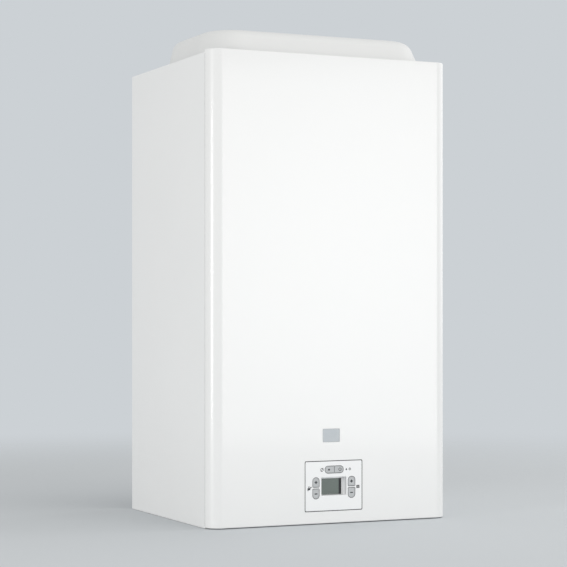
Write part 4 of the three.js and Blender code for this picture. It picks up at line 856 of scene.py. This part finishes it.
# %% Burner door, burner and electrode
DOOR = -92.3
SPARK = HEAT[0], 515
disc = rod("y", 98, (DOOR, DOOR + 12), HEAT, 96, 1.5)
inlet_duct = block((-78, 49.7), (DOOR - 23.7, DOOR + 1), (432, 468))
casting = cut(together(disc, inlet_duct), block((-74, 51), (DOOR - 19.7, DOOR - 5.7), (436, 464)),
              rod("y", 14, (DOOR - 18.7, DOOR + 13), HEAT, 48, 0), rod("y", 5.3, (DOOR - 1, DOOR + 13), SPARK, 32, 0))
rib = moved(block((32, 83), (-2.6, 1), (-1.6, 1.6)), turn=(0, -15, 0))
bolt = together(*rods("y", (90, 0), (5, -4, 0.5, 6), (6.4, -0.6, 0.4, 32, 0.2)))
finished("burner_door_casting", "burner_door", casting, around("y", rib, 12, HEAT, "cast_aluminium", DOOR),
         around("y", moved(bolt, turn=(0, 45, 0)), 4, HEAT, reach=DOOR), edge=0.7)
sleeve = cut(*rods("y", HEAT, (50, -80, 10.2, 96, 1), (48, -81, 8.2, 96, 0)))
finished("burner_tube_sleeve", "burner_tube", sleeve, edge=0.2)
# black discs on the tube face: painted shade standing in for the port holes
port_shade_row = row(rod("x", 1.1, (50.0, 50.12), sides=8, ease=0), 14, (0, -74, 0), (0, 6, 0), BLACK)
finished("burner_port_shade_discs", None, around("y", port_shade_row, 36, HEAT, BLACK),
         edge=0, body=body_of["burner_tube"], slot=BLACK)
glaze = turned("y", [(0, -106.3), (3, -106.3), (3, -103), (5, -102), (3.8, -100.4), (5, -98.8), (3.8, -97.2),
                     (5, -95.6), (5, -76), (4, -74.3), (0, -74.3)], SPARK, 40)
finished("electrode_insulator", "ignition_electrode", glaze, rod("y", 1.5, (-75, -54.3), SPARK, 20), edge=0.15)
print("burner door, burner, electrode")

# %% [markdown]
# ## Fan, silencer and gas valve
# The fan draws air through the silencer, mixes it with gas from the valve below, and blows it to the burner. Its drum
# is a casting with ribs, its motor has fins, and its wheel has ten blades, one blade repeated in a ring.

# %% Fan
FAN = 120, 410
drum = together(rod("y", 62, (-118, -58), FAN, 96, 2.5), block((50, 120), (-116, -94), (432, 468)),
                block((95, 145), (-113, -63), (348, 357)))
shell = cut(drum, *rods("y", FAN, (52, -113, -63, 96, 0), (17, -119, -112, 64, 0), (6, -64, -57, 32, 0)),
            block((49, 100), (-112, -98), (436, 464)))
drum_screws = around("y", pan_head("-y", (0, 0, 56.5)), 6, FAN, reach=-118)
drum_ribs = around("y", block((-1, 1), (-112, -64), (60.5, 62.9)), 9, FAN, "cast_aluminium", degrees=162)
finished("fan_drum_casting", "fan_housing", shell, drum_screws, drum_ribs, edge=0.5)
blade = pulled("y", [(33.9, -1), (40, -0.2), (46, -1), (46, 1), (40, 1.8), (33.9, 1)], (-110, -69))
wheel = rods("y", FAN, (48, -70, -68, 72, 0.4), (4, -88, -48, 32), (9, -76, -67, 40, 1))
finished("impeller_wheel", "fan_impeller", *wheel, around("y", blade, 10, FAN, BLACK), edge=0.2)
can = cut(*rods("y", FAN, (36, -57.7, -7.7, 72, 3), (4.3, -59, -45.7, 32, 0)))
fins = around("y", block((35, 38), (-55, -12), (-0.9, 0.9)), 30, FAN, BLACK)
cap_screws = around("y", pan_head("y", (0, 0, 27)), 3, FAN, reach=-7.9)
finished("fan_motor_can", "fan_motor", can, fins, cap_screws, edge=0.35)
print("fan: 3 pieces")

# %% Silencer and gas valve
silencer = cut(rounded("z", (85, -148.3), (155, -118.3), 6, (375, 560)),
               rounded("z", (87, -146.3), (153, -120.3), 4, (377, 561)), rod("y", 17, (-121.3, -117), FAN, 64, 0))
corrugation = cut(rounded("z", (84.2, -149.1), (155.8, -118.3), 6.5, (0, 4)),
                  rounded("z", (85.5, -147.8), (154.5, -117.3), 5.5, (-1, 5)))
finished("silencer_box", "intake_silencer", silencer, row(corrugation, 7, (0, 0, 440), (0, 0, 16), BLACK))
valve_block = [rounded("z", (90, -118), (150, -58), 5, (290.7, 347.7)),
               rounded("y", (96, 300), (144, 340), 4, (-119.2, -117.5))]
coil_can = rods("x", (-88, 319.2), (14, 68, 91, 48, 1.2), (9, 66.5, 69, 40))
plate_screws = [row(pan_head("-y", (0, -119, z)), 2, (100, 0, 0), (40, 0, 0)) for z in (304, 336)]
gas_inlet = hexagon(10, (282.7, 291.7), (120, -90), ease=0.7)
finished("gas_valve_casting", "gas_valve", *valve_block, *coil_can, *plate_screws, gas_inlet, edge=0.5)
GAS = [(0, 20, 80.3), (0, 20, 104.6), (0, -88, 161.1), (60, -88, 197.5), (120, -90, 242), (120, -90, 282.4)]
pipe_with_nuts("gas_pipe", GAS, 7, 11.5, 11, (0, 20, 81.5), (120, -90, 270.5))
print("silencer, gas valve, gas pipe")

# %% [markdown]
# ## Expansion vessel
# Two deep-drawn steel shells are clamped with a rolled seam and painted red. A turned profile follows the shells, with
# the seam as a narrow bead round the widest part.

# %% Expansion vessel
VESSEL_Y, VESSEL_Z = 111.5, 430
rounds = [(0, -40), (108.5, -38), (128, -33.5), (141, -28), (148, -20), (152, -10), (154, -4), (154, -2.2), (155, -2),
          (155, 2), (154, 2.2), (154, 4), (152, 10), (148, 20), (141, 28), (128, 35.5), (108.5, 40), (0, 40)]
shells = turned("y", [(radius, VESSEL_Y + y) for radius, y in rounds], (0, VESSEL_Z), 128)
plug = rods("z", (0, VESSEL_Y), (6, 263, 287, 32), (11, 268, 276, 6, 0.7))
finished("vessel_shells", "expansion_vessel", shells, *plug, edge=0.5)
print("vessel: 1 piece")

# %% [markdown]
# ## The water group
# Under the combustion unit sit the plate exchanger, the diverter, the pump and their pipes. The plate exchanger is a
# stack of equal thin stainless plates brazed together, so it is one rounded plate repeated in a row.

# %% Plate heat exchanger
stack_plates = row(rounded("y", (-150, 90.3), (150, 150.3), 12, (0, 2.9)), 8, (0, 62, 0), (0, 5.75, 0))
core = rounded("y", (-147, 93.3), (147, 147.3), 10, (63, 107))
wave = pulled("y", [(-3, 100), (0, 103), (3, 100), (3, 102), (0, 105), (-3, 102)], (61.4, 62.2))
waves = [row(wave.copy(), 38, (-111, 0, lift), (6, 0, 0)) for lift in (0, 9, 18, 27, 36)]
finished("plate_stack", "plate_heat_exchanger", stack_plates, core, *waves, edge=0.25)
print("plate stack: 8 plates")

# %% [markdown]
# The diverter is hot-stamped brass, with a hexagonal plug on its side and a plastic motor on top that moves a spindle.
# The pump is a brass volute with a round chamber, a bladed wheel, and a black motor with cooling fins.

# %% Diverter
SPINDLE, SIDE_PORT = (-120, 39.7), (15, 110.3)
diverter = together(rounded("z", (-145, -5), (-95, 61.7), 7, (80.3, 150.3)),
                    *rods("x", SIDE_PORT, (14, -151, -144, 6, 0.8), (16, -146, -144.4, 48, 0.4)))
diverter = cut(diverter, rod("z", 10, (95.3, 152), SPINDLE, 48, 0))
seat_screws = row(pan_head("-y", (0, -4.8, 92)), 2, (-138, 0, 0), (36, 0, 0), "brass")
finished("diverter_stamping", "diverter_valve", diverter, seat_screws, edge=0.6)
housing = cut(rounded("z", (-138, 21.7), (-102, 57.7), 4, (150.6, 200.6)),
              rod("z", 3.4, (149, 190.6), SPINDLE, 24, 0))
lid_seam = cut(rounded("z", (-138.4, 21.3), (-101.6, 58.1), 4.3, (186, 187.6)),
               rounded("z", (-137.5, 22.2), (-102.5, 57.2), 3.6, (185, 188)))
vents = row(block((-131, -109), (21.2, 22.2), (0, 1.6)), 5, (0, 0, 158), (0, 0, 4.5), BLACK)
finished("actuator_housing", "diverter_actuator", housing, lid_seam, vents)
spindle = eased([(0, 104.3), (3, 104.3), (3, 105.3), (8, 105.3), (8, 115.3), (3, 115.3), (3, 176.6), (0, 176.6)], 0.6)
finished("diverter_plug", "diverter_spindle", turned("z", spindle, SPINDLE, 40), edge=0)
print("diverter: 3 pieces")

# %% Pump
PUMP = 120, 125.3
volute = cut(rounded("z", (92, -5), (150, 61.7), 8, (80.3, 165.3)), rod("y", 26, (-6, 27), PUMP, 72, 0))
finished("pump_volute", "pump_body", volute, edge=0.7)
vane = pulled("y", [(6, -0.8), (13, 1.4), (21, 1), (21, 2.2), (13, 2.8), (6, 0.8)], (1, 19))
finished("pump_wheel", "pump_rotor", *rods("y", PUMP, (22, 0, 2, 64, 0.4), (22, 18, 20, 64, 0.4)),
         around("y", vane, 7, PUMP), *rods("y", PUMP, (6.5, 0.5, 19.5, 32), (4, -15.3, 1, 32)), edge=0.15)
terminals = rounded("y", (150, 105.3), (172, 145.3), 4, (-74, -7.3))
motor = cut(together(rod("y", 40, (-76, -5.3), PUMP, 96, 4), terminals), rod("y", 4.3, (-17.3, -4), PUMP, 32, 0))
motor_fins = around("y", block((39, 42), (-70, -10), (-1, 1)), 24, PUMP, BLACK)
end_cap = rod("y", 11, (-76.6, -75), PUMP, 48, 0.5), ring("y", 26, 29, (-76.5, -75), PUMP, 72)
box_screws = row(pan_head("x", (171.8, 0, 125.3), 2.6, 1.4), 2, (0, -64, 0), (0, 46, 0))
finished("pump_motor_can", "pump_motor", motor, motor_fins, *end_cap, box_screws, edge=0.4, slot="motor_paint")
print("pump: 3 pieces")

# %% [markdown]
# Copper pipes join the groups. The condensate trap is a moulded cup with grip ribs round it and a soft hose up to the
# exchanger's drain.

# %% Flow and return pipes, trap
FLOW = [(-110, -39.9, 334.7), (-110, -39.9, 297.9), (-120, 8, 187.4), (-120, 8, 150.6)]
RETURN = [(-20, 10.2, 334.7), (-20, 10.2, 292.4), (105, 30, 207.9), (105, 30, 165.6)]
pipe_with_nuts("flow_pipe", FLOW, 9, 13, 10, (-110, -39.9, 322), (-120, 8, 151.2))
pipe_with_nuts("return_pipe", RETURN, 9, 13, 10, (-20, 10.2, 322), (105, 30, 166.2))
TRAP = -168, 40
HOSE = [(-60, 25.2, 334.7), (-60, 25.2, 298), (-96, 65.2, 261.4), (-144, 65.2, 233.9), (*TRAP, 188), (*TRAP, 150.5)]
cup = eased([(0, 61.5), (16, 61.5), (19, 68), (19, 132), (20, 134), (20, 149), (18, 151.5), (0, 151.5)], 1.5)
grips = around("z", block((18.6, 20), (-1, 1), (135.5, 147.5)), 24, TRAP, BLACK)
spout = turned("z", eased([(0, 30), (7.4, 30), (8, 31), (8, 62), (0, 62)], 0.5), TRAP, 40)
barbs = row(turned("z", [(7, 0), (8, 0.6), (7, 3)], sides=40), 4, (*TRAP, 33), (0, 0, 4), BLACK)
clip = ring("z", 6, 8.2, (322, 328), (-60, 25.2), 40)
finished("trap_cup_and_hose", "condensate_trap", turned("z", cup, TRAP, 72), grips, spout, barbs,
         pipe(HOSE, 6, BLACK), clip, edge=0.3)
print("pipes and trap")

# %% Relief valve and air vent
RELIEF, DISCHARGE, VENT = (168.3, 30), (30, 140.3), (137, 44)
valve = together(rod("x", 12, (150.3, 180.3), DISCHARGE, 48, 1),
                 *rods("z", RELIEF, (8, 30, 140.3, 40), (8, 140, 156.3, 40, 0.8)))
finished("relief_valve_body", "relief_valve", cut(valve, rod("z", 3.4, (146.3, 158), RELIEF, 24, 0)),
         hexagon(13.4, (151.5, 158), DISCHARGE, "x"), edge=0.3)
knob = turned("z", eased([(0, 156.6), (11, 156.6), (11, 168), (8, 170.6), (0, 170.6)], 1), RELIEF, 60)
flutes = around("z", block((10, 12), (-1.2, 1.2), (157.4, 168.6)), 12, RELIEF, "red_paint")
finished("relief_knob_fluted", "relief_knob", knob, flutes, rod("z", 3, (148.3, 157.5), RELIEF, 24, 0.3), edge=0.25)
vent_body = turned("z", eased([(0, 165.6), (10, 165.6), (10, 193.6), (6, 195), (0, 195)], 1), VENT, 48)
knurls = around("z", block((5.4, 6), (-0.35, 0.35), (195.5, 201)), 24, VENT, "brass")
finished("air_vent_body", "air_vent", vent_body, rod("z", 5.6, (194.5, 201.6), VENT, 40, 0.6), knurls, edge=0.2)
print("relief valve and air vent")

# %% [markdown]
# ## Connections under the case
# Five tails hang below the tray at 60 mm pitch. Each is turned brass with a seat, a nut and a thread, and four have a
# small lever. They are the same part at five places, so one function makes them all.

# %% Tails and levers
def tail(x, lever):
    at = x, 20
    turnings = rods("z", at, (11, 26, 80, 56), (10.2, 8, 80, 56, 0.6), (18, 55.7, 59.7, 64, 0.8), (16, 10, 22, 6, 1.0),
                    (13.2, 9.4, 10.6, 48, 0.2))
    boss = [cut(*rods("y", (x, 32), (6, -4, 20, 40), (2.8, -5, 4, 24, 0)))] if lever else []
    return together(*turnings, threaded(11, (23, 26.5), at, 1.2), *boss)


for node, x in (("ch_flow_valve", -120), ("gas_cock", 0), ("ch_return_valve", 120)):
    finished(node + "_tail", node, tail(x, True), edge=0.3)
for node, x, lever in (("hot_water_outlet", -60, False), ("cold_inlet_valve", 60, True)):
    elbow = pipe([(x, 20, 79), (x, 20, 100), (x, 23, 108), (x, 30, 110.3), (x, 61.7, 110.3)], 9, "brass")
    finished(node + "_tail", node, tail(x, lever), elbow, hexagon(12.5, (50, 59), (x, 110.3), "y"), edge=0.3)
for node, x in (("ch_flow_lever", -120), ("gas_lever", 0), ("cold_inlet_lever", 60), ("ch_return_lever", 120)):
    handle = pulled("y", cornered((x - 4.5, 4), (x + 4.5, 34), [4, 4, 4.4, 4.4]), (-9.3, -6.3))
    hub = rods("y", (x, 32), (8, -9.3, -4.3, 48, 0.7), (2.5, -5.3, 2.7, 24, 0.3))
    grip = row(block((x - 3.4, x + 3.4), (-9.8, -9.1), (0, 0.9)), 5, (0, 0, 7), (0, 0, 2.6), BLACK)
    finished(node + "_handle", node, handle, *hub, grip)
print("tails: 5, levers: 4")

# %% [markdown]
# ## Control box
# A grey moulded box behind the fascia holds the circuit board. Its back has a row of cooling slots: one slot is
# repeated, and the whole row is cut through the wall at once.

# %% Control box shell
case = cut(rounded("z", (-150, -161.7), (150, -100), 4, (15, 135)),
           rounded("z", (-148, -159.7), (148, -102), 3, (17, 133)), block((-35.5, 42.1), (-163, -158.7), (34.1, 88.8)))
slot_row = row(block((-1.5, 1.5), (-103, -99), (96, 122)), 20, (-114, 0, 0), (12, 0, 0), "box_plastic")
ribs = row(block((-1, 1), (-100.4, -99.4), (20, 90)), 7, (-120, 0, 0), (40, 0, 0), "box_plastic")
lid_screws = row(pan_head("y", (0, -100, 128), 3, 1.4), 4, (-138, 0, 0), (92, 0, 0))
posts = [rod("y", 4, (-160.7, -144.3), (x, z), 32, 0.4) for x in (-54.5, 61.1) for z in (28.1, 105.3)]
pins = [rod("x", 4, span, (-150, 20), 40, 0.6) for span in ((-157, -149), (149, 157))]
finished("control_box_moulding", "control_box_shell", cut(case, slot_row), ribs, lid_screws, *posts, *pins, edge=0.35)
print("control box shell")

# %% Circuit board and display module
laminate = rounded("y", (-60.5, 22.1), (67.1, 111.3), 2, (-144, -142.4))
relay = rounded("y", (20, 80), (50, 105), 1.5, (-142.9, -124))
transformer = rounded("y", (-50, 30), (-10, 62), 2, (-142.9, -116))
finished("circuit_board", "control_board", laminate, relay, transformer, edge=0.3)
capacitors = row(rod("y", 4, (-142.6, -128), sides=32, ease=0.6), 4, (0, 0, 40), (11, 0, 0), BLACK)
sockets = row(block((-5, 5), (-142.6, -132), (-4, 4)), 6, (-48, 0, 100), (11.5, 0, 0), BLACK)
finished("board_components", None, capacitors, sockets, body="control_box", slot=BLACK)
module = rounded("y", (-19.5, 41.3), (24.7, 71.1), 1, (-152.7, -144.3))
finished("display_module_case", "display_module", module)
print("board, components and display module")

# %% Give the frame's own parts their finishes
def sizes():
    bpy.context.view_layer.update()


for node, part in frame["nodes"].items():
    for place in part.material_slots:
        place.material = FINISH[slot_of[node]]
sizes()
